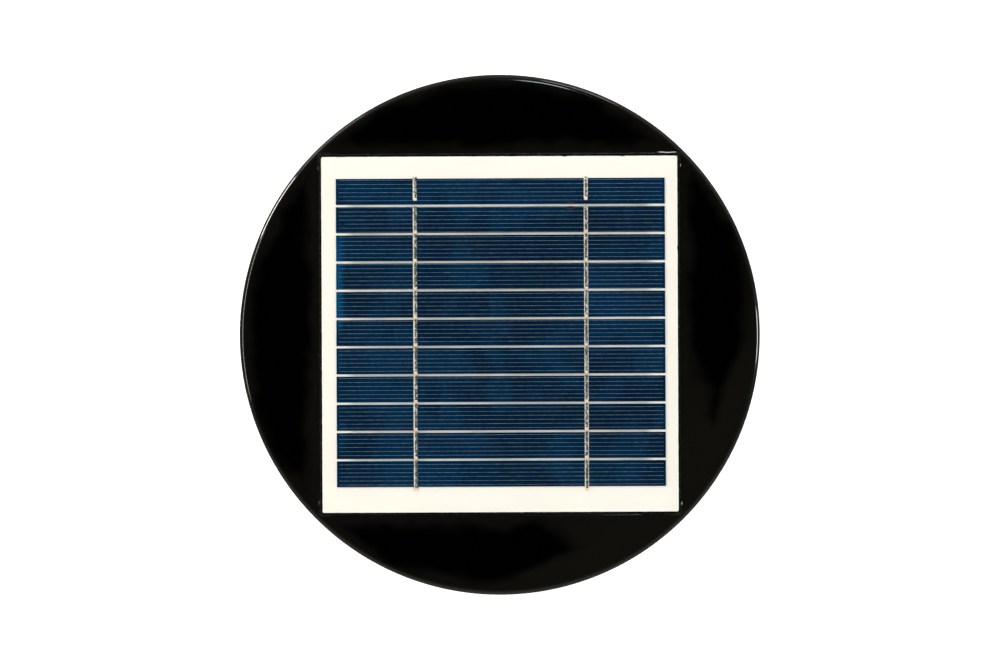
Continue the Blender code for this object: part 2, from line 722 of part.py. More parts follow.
def add_small_screw(name, x, y):
    """Screw driven upwards through the guard, its head under the guard."""
    shape = screw_shape(2.9 * MM, 2.0 * MM, SMALL_SCREW_SHANK, SMALL_SCREW_LENGTH)
    add_part(name, shape, "stainless", location=(x, y, GUARD_BOTTOM - GAP), rotation=(math.pi, 0, 0))


def build_guard_screws():
    for number, degrees in enumerate(LUG_ANGLES, start=1):
        angle = math.radians(degrees)
        add_small_screw(f"guard_screw_{number}", LUG_RADIUS * math.cos(angle), LUG_RADIUS * math.sin(angle))


def switch_outline(growth=0.0):
    """Outline of the switch's body in the guard, grown for the opening that takes it."""
    return rounded_rectangle(8.4 * MM + growth, 5.2 * MM + growth, 1.0 * MM)


def build_switch():
    bezel = rounded_rectangle(9.8 * MM, 6.4 * MM, 1.2 * MM)
    well = rounded_rectangle(ROCKER_REACH + 0.4 * MM, ROCKER_WIDTH / 2 + GAP, 0.3 * MM)
    body = switch_outline()
    under_guard = GUARD_BOTTOM - GAP
    well_top = 12.0 * MM
    levels = (
        (well, well_top),
        (well, BEZEL_BOTTOM),
        (bezel, BEZEL_BOTTOM),
        (bezel, under_guard),
        (body, under_guard),
        (body, SWITCH_TOP),
    )
    housing = lofted([[(x, y, height) for x, y in loop] for loop, height in levels])
    switch = add_part("switch_body", housing, "dark_plastic")
    pin_radius = 0.6 * MM
    pin_half = ROCKER_WIDTH / 2 + 1.2 * MM
    along_y = Matrix.Rotation(math.radians(90), 4, "X")
    pin = moved(drill(pin_radius, -pin_half, pin_half), along_y)
    hole = moved(drill(pin_radius + GAP, -pin_half - GAP, pin_half + GAP), along_y)
    pivot = (0, 0, ROCKER_PIVOT_HEIGHT)
    shape_with(switch, "pin_sockets", shifted(hole, z=ROCKER_PIVOT_HEIGHT), "DIFFERENCE")
    add_part("rocker_pin", pin, "zinc_steel", location=pivot)
    face_angle = 50
    outline = [
        *arc((0, 0), ROCKER_REACH, 0, -face_angle, 4),
        (0, -3.6 * MM),
        *arc((0, 0), ROCKER_REACH, -180 + face_angle, -180, 4),
        (-5.0 * MM, 1.5 * MM),
        (5.0 * MM, 1.5 * MM),
    ]
    rocker_loops = [[(x, side * ROCKER_WIDTH / 2, z) for x, z in outline] for side in (-1, 1)]
    rocker = add_part(
        "switch_rocker",
        lofted(rocker_loops),
        "dark_plastic",
        location=pivot,
        rotation=(0, ROCKER_OFF_TILT, 0),
    )
    shape_with(rocker, "rocker_bore", hole, "DIFFERENCE")


def build_pod():
    roof_hole = 5.6 * MM
    chamfer = 0.8 * MM
    profile = [
        (POD_INNER, POD_BOTTOM),
        (POD_RADIUS, POD_BOTTOM),
        (POD_RADIUS, POD_TOP - chamfer),
        (POD_RADIUS - chamfer, POD_TOP),
        (roof_hole, POD_TOP),
        (roof_hole, POD_TOP - POD_ROOF),
        (POD_INNER, POD_TOP - POD_ROOF),
    ]
    pod = add_part("motor_pod", turned(profile, RING_ROUND, closed=True), "black_plastic")
    boss_top = 19.0 * MM
    boss = box((-2.8 * MM, 10.6 * MM, POD_BOTTOM), (2.8 * MM, POD_INNER + 0.8 * MM, boss_top))
    shape_with(pod, "pod_bosses", around(boss, (0, 180)), "UNION")
    pilot = drill(SMALL_SCREW_HOLE, POD_BOTTOM - CUT_PAST, boss_top - 1.2 * MM)
    screw_hole = drill(MOTOR_SCREW_HOLE, POD_TOP - 2 * POD_ROOF, POD_TOP + CUT_PAST)
    cable_hole = along_x(drill(GROMMET_HOLE_RADIUS, POD_INNER - CUT_PAST, POD_RADIUS + CUT_PAST))
    cuts = [
        around(shifted(pilot, y=POD_SCREW_OFFSET), (0, 180)),
        around(shifted(screw_hole, x=MOTOR_SCREW_OFFSET), (0, 180)),
        shifted(cable_hole, z=CABLE_LOW),
    ]
    shape_with(pod, "pod_holes", together(cuts), "DIFFERENCE")
    for number, side in enumerate((1, -1), start=1):
        add_small_screw(f"pod_screw_{number}", 0, side * POD_SCREW_OFFSET)


def build_grommet():
    """Rubber grommet in the pod's wall, a groove round its neck, with the cable through it."""
    bore = CABLE_RADIUS + GAP
    neck = GROMMET_HOLE_RADIUS - GAP
    flange = 4.0 * MM
    flange_thickness = 1.4 * MM
    inner_face = POD_INNER - 0.6 * MM         # clear of the pod's round wall
    outer_face = POD_RADIUS + GAP
    profile = [
        (bore, inner_face - flange_thickness),
        (flange, inner_face - flange_thickness),
        (flange, inner_face),
        (neck, inner_face),
        (neck, outer_face),
        (flange, outer_face),
        (flange - 0.6 * MM, outer_face + flange_thickness),
        (bore, outer_face + flange_thickness),
    ]
    grommet = along_x(turned(profile, SCREW_ROUND, closed=True))
    add_part("cable_grommet", grommet, "rubber", location=(0, 0, CABLE_LOW))


# ---- motor ----

def build_motor():
    cup_outer = 5.0 * MM
    cup_inner = 4.1 * MM
    cup_hole = 2.2 * MM
    cup_top = CAN_TOP + 2.4 * MM
    sheet = 1.0 * MM
    can_profile = [
        (CAN_RADIUS, CAN_BOTTOM),
        (CAN_RADIUS, CAN_TOP - 0.8 * MM),
        (CAN_RADIUS - 0.8 * MM, CAN_TOP),
        (cup_outer, CAN_TOP),
        (cup_outer, cup_top),
        (cup_hole, cup_top),
        (cup_hole, cup_top - 0.6 * MM),
        (cup_inner, cup_top - 0.6 * MM),
        (cup_inner, CAN_TOP - sheet),
        (CAN_INNER, CAN_TOP - sheet),
        (CAN_INNER, CAN_BOTTOM),
    ]
    can = add_part("motor_can", turned(can_profile, closed=True), "zinc_steel")
    screw_hole = drill(MOTOR_SCREW_HOLE, CAN_TOP - CUT_PAST, CAN_TOP + CUT_PAST)
    screw_holes = around(shifted(screw_hole, x=MOTOR_SCREW_OFFSET), (0, 180))
    shape_with(can, "can_holes", screw_holes, "DIFFERENCE")
    boot_profile = [
        (5.6 * MM, CAN_TOP + GAP),
        (CAN_RADIUS + GAP, CAN_TOP + GAP),
        (CAN_RADIUS + GAP, 36.0 * MM),
        (POD_INNER - GAP, 36.0 * MM),
        (POD_INNER - GAP, POD_TOP - POD_ROOF - GAP),
        (5.6 * MM, POD_TOP - POD_ROOF - GAP),
    ]
    boot = add_part("motor_boot", turned(boot_profile, closed=True), "rubber")
    shape_with(boot, "boot_holes", screw_holes, "DIFFERENCE")
    screw = screw_shape(2.1 * MM, 1.6 * MM, MOTOR_SCREW_SHANK, 5.8 * MM)
    for number, side in enumerate((1, -1), start=1):
        place = (side * MOTOR_SCREW_OFFSET, 0, POD_TOP + GAP)
        add_part(f"motor_screw_{number}", screw, "stainless", location=place)
    bell_bottom = 26.5 * MM
    bell_profile = [
        (cup_hole, 23.6 * MM),
        (cup_outer, 23.6 * MM),
        (cup_outer, bell_bottom),
        (CAN_RADIUS, bell_bottom),
        (CAN_RADIUS, CAN_BOTTOM - GAP),
        (CAN_INNER - GAP, CAN_BOTTOM - GAP),
        (CAN_INNER - GAP, CAN_BOTTOM + 2 * MM),
        (12.5 * MM, CAN_BOTTOM + 2 * MM),
        (12.5 * MM, CAN_BOTTOM - 1 * MM),
        (cup_inner, CAN_BOTTOM - 1 * MM),
        (cup_inner, 24.3 * MM),
        (cup_hole, 24.3 * MM),
    ]
    bell = add_part("motor_end_bell", turned(bell_profile, closed=True), "dark_plastic")
    tab_width = 2.8 * MM
    tab_end = TAB_RADIUS + 0.6 * MM
    slot_half = tab_width / 2 + GAP
    slot_low = (TAB_RADIUS - GAP, -slot_half, bell_bottom - CUT_PAST)
    slot = box(slot_low, (tab_end + GAP, slot_half, CAN_BOTTOM + 1 * MM))
    shape_with(bell, "tab_slots", around(slot, (90, 270)), "DIFFERENCE")
    bearings = (("front_bearing", 53.4 * MM, 57.7 * MM), ("rear_bearing", 24.6 * MM, 28.6 * MM))
    for name, bottom, top in bearings:
        add_part(name, tube_shape(SHAFT_BORE, BUSH_RADIUS, bottom, top), "bronze")
    magnet = ring_sector(12.2 * MM, 14.6 * MM, 36.0 * MM, 53.0 * MM, 5, 355, 28)
    add_part("motor_magnet", magnet, "magnet")
    brush_outline = [
        (3.9 * MM, 34.4 * MM),
        (3.9 * MM, 31.0 * MM),
        (TAB_RADIUS, 31.0 * MM),
        (TAB_RADIUS, 20.5 * MM),
        (tab_end, 20.5 * MM),
        (tab_end, 34.4 * MM),
    ]
    for number, degrees in enumerate((90, 270), start=1):
        add_part(f"motor_brush_{number}", radial_plate(brush_outline, tab_width, degrees), "brass")


def pole_outline():
    """Outline of the three-pole lamination, seen along the shaft."""
    hub = 3.6 * MM
    neck = 2.2 * MM
    shoe_inner = 10.2 * MM
    shoe_outer = 11.6 * MM
    shoe_angle = 46
    neck_start = math.sqrt(hub ** 2 - neck ** 2)
    neck_angle = math.degrees(math.asin(neck / shoe_inner))
    half = [
        (neck_start, -neck),
        *arc((0, 0), shoe_inner, -neck_angle, -shoe_angle, 2),
        *arc((0, 0), shoe_outer, -shoe_angle, 0, 3),
    ]
    pole = half + [(x, -y) for x, y in reversed(half[:-1])]
    outline = []
    for degrees in (0, 120, 240):
        turn = Matrix.Rotation(math.radians(degrees), 2)
        outline += [tuple(turn @ Vector(point)) for point in pole]
    return outline


def upright_rectangle(half_width, bottom, top):
    return [(-half_width, bottom), (half_width, bottom), (half_width, top), (-half_width, top)]


def build_armature(fan_axis):
    bottom = 38.0 * MM
    top = 50.0 * MM
    core = add_part("armature_core", prism(pole_outline(), bottom, top), "zinc_steel", fan_axis)
    shape_with(core, "core_bore", drill(SHAFT_BORE, bottom - GAP, top + GAP), "DIFFERENCE")
    coil_inner = 4.8 * MM
    coil_outer = 8.4 * MM
    rim = 2.1 * MM
    outer_loop = upright_rectangle(5.2 * MM, bottom - rim, top + rim)
    inner_loop = upright_rectangle(2.6 * MM, bottom - GAP, top + GAP)
    coil_levels = (
        (coil_inner, outer_loop),
        (coil_outer, outer_loop),
        (coil_outer, inner_loop),
        (coil_inner, inner_loop),
    )
    coil = lofted([[(radius, y, z) for y, z in loop] for radius, loop in coil_levels], closed=True)
    winding = add_part("armature_winding", around(coil, (0, 120, 240)), "copper", fan_axis)
    link_low = bottom - rim - 0.7 * MM
    link_high = bottom - rim + 0.8 * MM
    shape_with(winding, "winding_link", tube_shape(4.0 * MM, 5.6 * MM, link_low, link_high), "UNION")
    commutator = tube_shape(SHAFT_BORE, 3.6 * MM, 30.0 * MM, 34.9 * MM)
    add_part("commutator", commutator, "copper", fan_axis)
    chamfer = 0.4 * MM
    shaft = [
        (SHAFT_RADIUS - chamfer, 22.6 * MM),
        (SHAFT_RADIUS, 23.0 * MM),
        (SHAFT_RADIUS, 72.2 * MM),
        (SHAFT_RADIUS - chamfer, 72.6 * MM),
    ]
    add_part("rotor_shaft", turned(shaft, SCREW_ROUND), "stainless", fan_axis)


def blade_shape():
    """One blade: a cambered skin that sweeps round the axis, its leading edge low."""
    root = HUB_RADIUS - 1.5 * MM
    stations = 4
    chord_steps = 4
    upper = []
    lower = []
    for station in range(stations + 1):
        share = station / stations
        radius = root + (BLADE_TIP - root) * share
        span = math.radians(50 + 4 * share)
        sweep = math.radians(8) * share
        rise = (19.0 - 3.0 * share) * MM
        camber = (1.2 + 1.6 * share) * MM
        for step in range(chord_steps + 1):
            along = step / chord_steps - 0.5
            angle = sweep + span * along
            height = BLADE_MIDDLE - rise * along - camber * (1 - 4 * along * along)
            half = BLADE_THICKNESS / 2 * (1 - 2.2 * along * along)
            x = radius * math.cos(angle)
            y = radius * math.sin(angle)
            upper.append((x, y, height + half))
            lower.append((x, y, height - half))
    points = upper + lower
    below = len(upper)
    row = chord_steps + 1
    faces = []
    for station in range(stations):
        for step in range(chord_steps):
            a = station * row + step
            b = a + row
            faces.append((a, a + 1, b + 1, b))
            faces.append((below + a, below + b, below + b + 1, below + a + 1))
        for step in (0, chord_steps):
            a = station * row + step
            faces.append((a, a + row, below + a + row, below + a))
    for station in (0, stations):
        for step in range(chord_steps):
            a = station * row + step
            faces.append((a, a + 1, below + a + 1, below + a))
    return points, faces


def build_fan_wheel(fan_axis):
    boss_radius = 5.0 * MM
    boss_bottom = 62.6 * MM
    roof = HUB_TOP - 3.0 * MM
    shoulder = 2.5 * MM
    profile = [
        (SHAFT_BORE, boss_bottom),
        (boss_radius, boss_bottom),
        (boss_radius, roof),
        (HUB_INNER, roof),
        (HUB_INNER, HUB_BOTTOM),
        (HUB_RADIUS, HUB_BOTTOM),
        (HUB_RADIUS, HUB_TOP - shoulder),
        (HUB_RADIUS - shoulder, HUB_TOP),
        (SHAFT_BORE, HUB_TOP),
    ]
    wheel = add_part("fan_wheel", turned(profile, HUB_ROUND, closed=True), "dark_plastic", fan_axis)
    blades = around(blade_shape(), [360 * step / BLADE_COUNT for step in range(BLADE_COUNT)])
    shape_with(wheel, "fan_blades", blades, "UNION")
    clip = [
        (SHAFT_BORE, HUB_TOP + GAP),
        (5.5 * MM, HUB_TOP + GAP),
        (4.8 * MM, HUB_TOP + 1.0 * MM),
        (SHAFT_BORE, HUB_TOP + 1.6 * MM),
    ]
    add_part("hub_clip", turned(clip, closed=True), "zinc_steel", fan_axis)


# ---- wiring ----

def smooth_route(route, steps):
    """Points on a smooth curve through a route's points, with a number of steps between two of them."""
    knots = [Vector(point) for point in route]
    ends = [2 * knots[0] - knots[1], *knots, 2 * knots[-1] - knots[-2]]
    points = []
    for before, start, end, after in zip(ends, ends[1:], ends[2:], ends[3:]):
        for step in range(steps):
            t = step / steps
            bend = 2 * before - 5 * start + 4 * end - after
            twist = 3 * start - before - 3 * end + after
            points.append(start + 0.5 * t * (end - before + t * (bend + t * twist)))
    points.append(knots[-1])
    return points


def add_tube(name, route, radius, finish, steps=2):
    points = smooth_route(route, steps)
    curve = bpy.data.curves.new(name, "CURVE")
    curve.dimensions = "3D"
    curve.bevel_depth = radius
    curve.bevel_resolution = 2
    curve.use_fill_caps = True
    spline = curve.splines.new("POLY")
    spline.points.add(len(points) - 1)
    for target, point in zip(spline.points, points):
        target.co = (*point, 1.0)
    curve.materials.append(finish_material(finish))
    tube = bpy.data.objects.new(name, curve)
    bpy.context.scene.collection.objects.link(tube)


def build_wiring():
    run = 12.9 * MM
    side_view = [
        (12.0 * MM, CABLE_HIGH),
        (28.0 * MM, CABLE_HIGH),
        (45.5 * MM, CABLE_HIGH),
        (58.0 * MM, CABLE_HIGH - 0.2 * MM),
        (67.0 * MM, 89.0 * MM),
        (72.0 * MM, 82.0 * MM),
        (CABLE_DROP, 74.0 * MM),
        (CABLE_DROP, 62.0 * MM),
        (CABLE_DROP, 48.0 * MM),
        (CABLE_DROP, 36.0 * MM),
        (CABLE_DROP, 27.0 * MM),
        (71.0 * MM, 19.0 * MM),
        (65.0 * MM, 14.2 * MM),
        (55.0 * MM, run),
        (42.0 * MM, run),
        (31.0 * MM, 13.6 * MM),
        (24.0 * MM, CABLE_LOW),
        (19.0 * MM, CABLE_LOW),
        (13.6 * MM, CABLE_LOW),
    ]
    add_tube("panel_cable", [(x, 0, z) for x, z in side_view], CABLE_RADIUS, "cable_jacket")
    cable_end = 12.7 * MM
    terminal_height = 22.5 * MM
    to_switch = [
        (cable_end, 0.8 * MM, CABLE_LOW),
        (11.0 * MM, 1.4 * MM, 17.5 * MM),
        (8.6 * MM, 1.0 * MM, 21.6 * MM),
        (5.2 * MM, 0, terminal_height),
    ]
    switch_to_motor = [
        (-5.2 * MM, 0, terminal_height),
        (-8.4 * MM, 3.0 * MM, 22.0 * MM),
        (-6.5 * MM, 8.0 * MM, 21.8 * MM),
        (-2.4 * MM, 9.9 * MM, terminal_height),
    ]
    panel_to_motor = [
        (cable_end, -0.8 * MM, CABLE_LOW),
        (11.6 * MM, -4.5 * MM, 17.4 * MM),
        (8.0 * MM, -8.6 * MM, 21.0 * MM),
        (2.4 * MM, -9.9 * MM, terminal_height),
    ]
    add_tube("wire_panel_to_switch", to_switch, WIRE_RADIUS, "red_wire", 3)
    add_tube("wire_switch_to_motor", switch_to_motor, WIRE_RADIUS, "red_wire", 3)
    add_tube("wire_panel_to_motor", panel_to_motor, WIRE_RADIUS, "black_wire", 3)


def main():
    clear_scene()
    panel_seat = add_empty("panel_seat", (0, PANEL_SHIFT, 0), (0, 0, PANEL_TURN))
    fan_axis = add_empty("fan_axis")
    bpy.context.view_layer.update()
    build_cap(panel_seat)
    build_cap_screws()
    build_panel(panel_seat)
    build_junction_box()
    build_base()
    build_gasket()
    build_screen()
    build_guard()
    build_guard_screws()
    build_switch()
    build_pod()
    build_grommet()
    build_motor()
    build_armature(fan_axis)
    build_fan_wheel(fan_axis)
    build_wiring()


main()
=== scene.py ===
"""Looks of a small round solar attic fan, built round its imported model. Metres, +Z up.

The cap, the solar panel, the base, the screen, the guard, the switch, the fan wheel, the screws
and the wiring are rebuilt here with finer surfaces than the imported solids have. The pieces inside
the motor keep their solids, with better materials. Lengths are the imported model's own, but for
small trims at edges.
"""

import math

import bmesh
import bpy
from mathutils import Matrix, Vector, noise


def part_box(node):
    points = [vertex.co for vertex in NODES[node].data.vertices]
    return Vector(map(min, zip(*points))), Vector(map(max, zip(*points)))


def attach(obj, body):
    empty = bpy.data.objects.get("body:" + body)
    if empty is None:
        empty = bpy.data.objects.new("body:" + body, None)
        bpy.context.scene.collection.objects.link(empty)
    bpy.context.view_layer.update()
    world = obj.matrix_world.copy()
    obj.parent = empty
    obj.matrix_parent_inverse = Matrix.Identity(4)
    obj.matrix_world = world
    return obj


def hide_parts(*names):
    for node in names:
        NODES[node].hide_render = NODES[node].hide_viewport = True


MM = 0.001

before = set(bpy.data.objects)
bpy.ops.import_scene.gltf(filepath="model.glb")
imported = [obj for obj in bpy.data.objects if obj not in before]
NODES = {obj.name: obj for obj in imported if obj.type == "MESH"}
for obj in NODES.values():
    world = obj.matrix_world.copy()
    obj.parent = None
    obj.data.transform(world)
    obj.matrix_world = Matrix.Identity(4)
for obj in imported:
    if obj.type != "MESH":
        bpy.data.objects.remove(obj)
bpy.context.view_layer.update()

# Cap
CAP_LOW, CAP_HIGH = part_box("top_cap")
CAP_RADIUS = CAP_HIGH.x
CAP_TOP = CAP_HIGH.z
SKIRT_BOTTOM = CAP_LOW.z
CAP_UNDERSIDE = CAP_TOP - 4.0 * MM
SKIRT_INNER = CAP_RADIUS - 3.0 * MM
CAP_EDGE = (3.6 * MM, 2.4 * MM)     # width and height of the rounded edge
CAP_HOLE_RADIUS = 21.0 * MM
DISH_START = 104.0 * MM             # outside this radius, the top falls away towards its edge
DISH_DEPTH = 0.3 * MM

# Panel, turned a quarter of a degree on the cap
PANEL_SHIFT = 0.4 * MM
PANEL_TURN = math.radians(0.25)
PANEL_SEAT = Matrix.Translation((0, PANEL_SHIFT, 0)) @ Matrix.Rotation(PANEL_TURN, 4, "Z")
PANEL_HALF = 85.0 * MM
PANEL_TRIM = (0.52 * MM, 0.58 * MM)  # how far the sawn edges lie inside that, in X and in Y
PANEL_SLIP = (0.05 * MM, -0.15 * MM)
PANEL_CORNER = 0.8 * MM
POCKET_HALF = PANEL_HALF + 0.9 * MM
POCKET_CORNER = 2.0 * MM
POCKET_FLOOR = CAP_TOP - 1.5 * MM
BOARD_LOW, BOARD_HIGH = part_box("panel_board")
CELL_COUNT = 11
CELL_SHIFT = (0.5 * MM, 0.7 * MM)
CELL_HALF = (78.0 * MM, 6.15 * MM)
CELL_PITCH = 13.39 * MM
CELL_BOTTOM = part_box("cell_strip_01")[0].z
CELL_TOP = CELL_BOTTOM + 0.2 * MM
SUNK = 0.02 * MM                    # how far prints and marks reach into the cells
FINGER_PITCH = 1.93 * MM
FINGER_HALF = 0.07 * MM
FINGER_HEIGHT = 0.03 * MM
RIBBON_OFFSET = 40.56 * MM
RIBBON_HALF = 0.95 * MM
COVER_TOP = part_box("clear_cover")[1].z

# Base, screen and guard
COLLAR_INNER = 75.0 * MM
COLLAR_RADIUS = 77.5 * MM
COLLAR_TOP = 74.0 * MM
FLANGE_BOTTOM = 38.0 * MM
FLANGE_TOP = 42.0 * MM
FLANGE_RADIUS = 118.0 * MM
SEAT_INNER = 94.8 * MM
SEAT_OUTER = 96.4 * MM
SEAT_HEIGHT = 3.0 * MM
POST_ANGLES = (45, 135, 225, 315)
POST_INNER = 102.0 * MM
POST_OUTER = 112.0 * MM
POST_WIDTH = 12.0 * MM
POST_TOP = 84.0 * MM
GUSSET_ANGLES = tuple(22.5 + 45 * step for step in range(8))
ROOF_HOLE_CIRCLE = 106.0 * MM
GAP = 0.3 * MM                      # clearance between pieces that touch
OVERLAP = 0.5 * MM                  # how far parts of one moulding run into each other
CAP_SCREW_FLOOR = CAP_RADIUS - 3.3 * MM
CAP_SCREW_HEIGHT = 76.0 * MM
CAP_SCREW_HOLE = 2.1 * MM
CAP_SCREW_SINK = 4.6 * MM
CAGE_INNER = 91.0 * MM
CAGE_OUTER = 93.5 * MM
CAGE_WINDOWS = 16
GUARD_BOTTOM = 8.0 * MM
GUARD_TOP = 11.0 * MM
GUARD_OUTER = 74.3 * MM
GUARD_RINGS = (34.0 * MM, 43.5 * MM, 53.0 * MM, 62.5 * MM)
LUG_ANGLES = (60, 180, 300)
LUG_RADIUS = 69.5 * MM
SCREW_HOLE = 1.7 * MM
THROUGH = (0.0, 20.0 * MM)          # heights between which the guard's cutters run
ROUND = 288                         # steps round the largest pieces

# Motor pod, fan wheel and cable
POD_BOTTOM = GUARD_TOP + GAP
POD_TOP = 60.0 * MM
POD_SCREW_OFFSET = 13.2 * MM
MOTOR_SCREW_OFFSET = 9.0 * MM
HUB_RADIUS = 25.0 * MM
HUB_BOTTOM = 44.0 * MM
HUB_TOP = 70.0 * MM
BLADE_TIP = 69.0 * MM
BLADE_MIDDLE = 56.0 * MM
CABLE_HIGH = 93.0 * MM              # the cable's height under the cap
CABLE_LOW = 15.5 * MM               # its height where it enters the pod
CABLE_DROP = 72.9 * MM              # its distance from the axis, down the collar's wall
CABLE_HOLE = 1.65 * MM

# Camera, straight above the cap
CAMERA_DISTANCE = 3.2
CAMERA_PLACE = (0.1 * MM, 0.6 * MM)
SENSOR_WIDTH = 36.0
VIEW_WIDTH = 474.8 * MM             # how much of the cap's plane the picture takes in

# Studio. Key lights don't show in reflections. Edge lights draw the bright lines on the cap's rim.
STUDIO_LEVEL = 2.3                  # brightness of every softbox
SOFTBOX_DISTANCE = 1.9
FLOOR_HALF = 7.0
FLOOR_DROP = 0.2 * MM               # the floor lies this far under the object, clear of it
FLOOR_GLOW = 0.42                   # the floor is lit from below too, as a light table is
FILL_LEVEL = 0.05                   # brightness of the room all round
MIRRORED_LEVEL = 0.60               # brightness of the room in reflections, near the horizon
MIRRORED_COLOUR = (1.0, 0.98, 0.86)
# where the reflected room is dark and where it is full, as a part of the direction, and its darkest
MIRRORED_OVERHEAD = (0.99, 0.15, 0.0)       # by Z, towards the zenith
MIRRORED_UNDERFOOT = (-0.75, -0.05, 0.10)   # by Z, below the horizon
MIRRORED_TO_EACH_END = (0.20, 0.60, 0.40)   # by Y without its sign, towards +X and -X
NEUTRAL = (1.0, 1.0, 1.0)
WARM = (1.0, 0.92, 0.83)
COOL = (0.92, 0.98, 1.0)
BLUE = (0.70, 0.90, 1.0)
KEY_LIGHTS = {"key_east_north": 45, "key_west_north": 135, "key_west_south": 225, "key_east_south": 315}
KEY_SETTINGS = (52, 1.6, 1.4, 0.94, NEUTRAL)
# name, azimuth, elevation, width, height, radiance and colour
EDGE_LIGHTS = (
    ("edge_left", 175, 37, 1.05, 0.12, 7.2, WARM),
    ("edge_left_bright", 150, 21, 0.48, 0.28, 19.0, WARM),
    ("edge_left_far", 131, 18, 0.60, 0.12, 6.0, WARM),
    ("edge_right", 0, 28, 0.34, 0.16, 20.0, COOL),
    ("edge_top_low", 72, 28, 0.50, 0.12, 6.0, WARM),
    ("edge_top", 80, 60, 0.18, 0.20, 6.8, BLUE),
)


# ---- shapes: a shape is a list of points and a list of faces ----

def lofted(loops, closed=False):
    """Skin through loops with equal numbers of points, capped at both ends or closed on itself."""
    count = len(loops[0])
    points = [point for loop in loops for point in loop]
    faces = []
    for loop in range(len(loops) if closed else len(loops) - 1):
        low = loop * count
        high = (loop + 1) % len(loops) * count
        for step in range(count):
            after = (step + 1) % count
            faces.append((low + step, low + after, high + after, high + step))
    if not closed:
        faces.append(tuple(range(count)))
        faces.append(tuple(range(len(points) - count, len(points))))
    return points, faces


def layered(levels):
    """Skin through flat outlines, given as (outline, height), capped at both ends."""
    return lofted([[(x, y, height) for x, y in outline] for outline, height in levels])


def prism(outline, bottom, top):
    return layered(((outline, bottom), (outline, top)))


def box(low, high):
    outline = [(low[0], low[1]), (high[0], low[1]), (high[0], high[1]), (low[0], high[1])]
    return prism(outline, low[2], high[2])


def ring_at(radius, height, steps):
    turn = 2 * math.pi / steps
    return [(radius * math.cos(turn * k), radius * math.sin(turn * k), height) for k in range(steps)]


def turned(profile, steps=96, closed=True):
    """Solid of revolution from (radius, height) corners. Closed leaves a hole through it."""
    return lofted([ring_at(radius, height, steps) for radius, height in profile], closed)


def rounded_tube(inner, outer, bottom, top, edge, steps=ROUND):
    corners = [(inner, bottom), (outer, bottom), (outer, top), (inner, top)]
    return turned(softened(corners, edge), steps)


def rod(radius, bottom, top, steps=32):
    """A plain rod along Z."""
    return turned([(radius, bottom), (radius, top)], steps, closed=False)


def cross_rod(radius, start, end, height):
    """A plain rod along +X at a height."""
    return shifted(along_x(rod(radius, start, end)), z=height)


def radial_plate(outline, width):
    """Plate on edge along +X: an outline of (radius, height) corners, its width along Y."""
    sides = (-width / 2, width / 2)
    return lofted([[(radius, side, height) for radius, height in outline] for side in sides])


def arc(centre, radius, start, end, steps):
    """Points on a circle from one angle to another, in degrees."""
    angles = [math.radians(start + (end - start) * step / steps) for step in range(steps + 1)]
    return [(centre[0] + radius * math.cos(a), centre[1] + radius * math.sin(a)) for a in angles]


def softened(corners, radius, steps=4):
    """A closed outline with every corner rounded, as far as its two edges leave room.

    A corner's third number, if it has one, is a radius of its own.
    """
    outline = []
    for index, corner in enumerate(corners):
        own_radius = corner[2] if len(corner) == 3 else radius
        here = Vector(corner[:2])
        back = Vector(corners[index - 1][:2]) - here
        ahead = Vector(corners[(index + 1) % len(corners)][:2]) - here
        half = back.angle(ahead) / 2
        reach = min(own_radius / math.tan(half), 0.45 * back.length, 0.45 * ahead.length)
        middle = here + (back.normalized() + ahead.normalized()).normalized() * reach / math.cos(half)
        first = here + back.normalized() * reach - middle
        last = here + ahead.normalized() * reach - middle
        for step in range(steps + 1):
            spoke = first.lerp(last, step / steps).normalized() * first.length
            outline.append(tuple(middle + spoke))
    return outline


def subdivided(outline, step):
    """The same closed outline, with no edge longer than step."""
    points = []
    for start, end in zip(outline, outline[1:] + outline[:1]):
        start, end = Vector(start), Vector(end)
        count = max(1, math.ceil((end - start).length / step))
        points += [tuple(start.lerp(end, k / count)) for k in range(count)]
    return points


def rectangle(half_x, half_y):
    return [(half_x, -half_y), (half_x, half_y), (-half_x, half_y), (-half_x, -half_y)]


def rounded_rectangle(half_x, half_y, corner):
    return softened(rectangle(half_x, half_y), corner, 6)


def moved(shape, matrix):
    points, faces = shape
    return [tuple(matrix @ Vector(point)) for point in points], faces


def shifted(shape, x=0.0, y=0.0, z=0.0):
    return moved(shape, Matrix.Translation((x, y, z)))


def around(shape, angles):
    """One copy of a shape for each angle about Z, in degrees."""
    return together([moved(shape, Matrix.Rotation(math.radians(angle), 4, "Z")) for angle in angles])


def along_x(shape):
    return moved(shape, Matrix.Rotation(math.radians(90), 4, "Y"))


def together(shapes):
    points = []
    faces = []
    for more_points, more_faces in shapes:
        start = len(points)
        points += more_points
        faces += [tuple(start + corner for corner in face) for face in more_faces]
    return points, faces


def ragged(size, x, y, seed):
    """A smooth number from about -1 to 1 that varies over a size, the same on every run."""
    return noise.noise(Vector((x / size, y / size, seed)))


# ---- pieces ----

def mesh_of(name, shape):
    mesh = bpy.data.meshes.new(name)
    mesh.from_pydata(shape[0], [], shape[1])
    work = bmesh.new()
    work.from_mesh(mesh)
    bmesh.ops.recalc_face_normals(work, faces=work.faces)
    work.to_mesh(mesh)
    work.free()
    return mesh


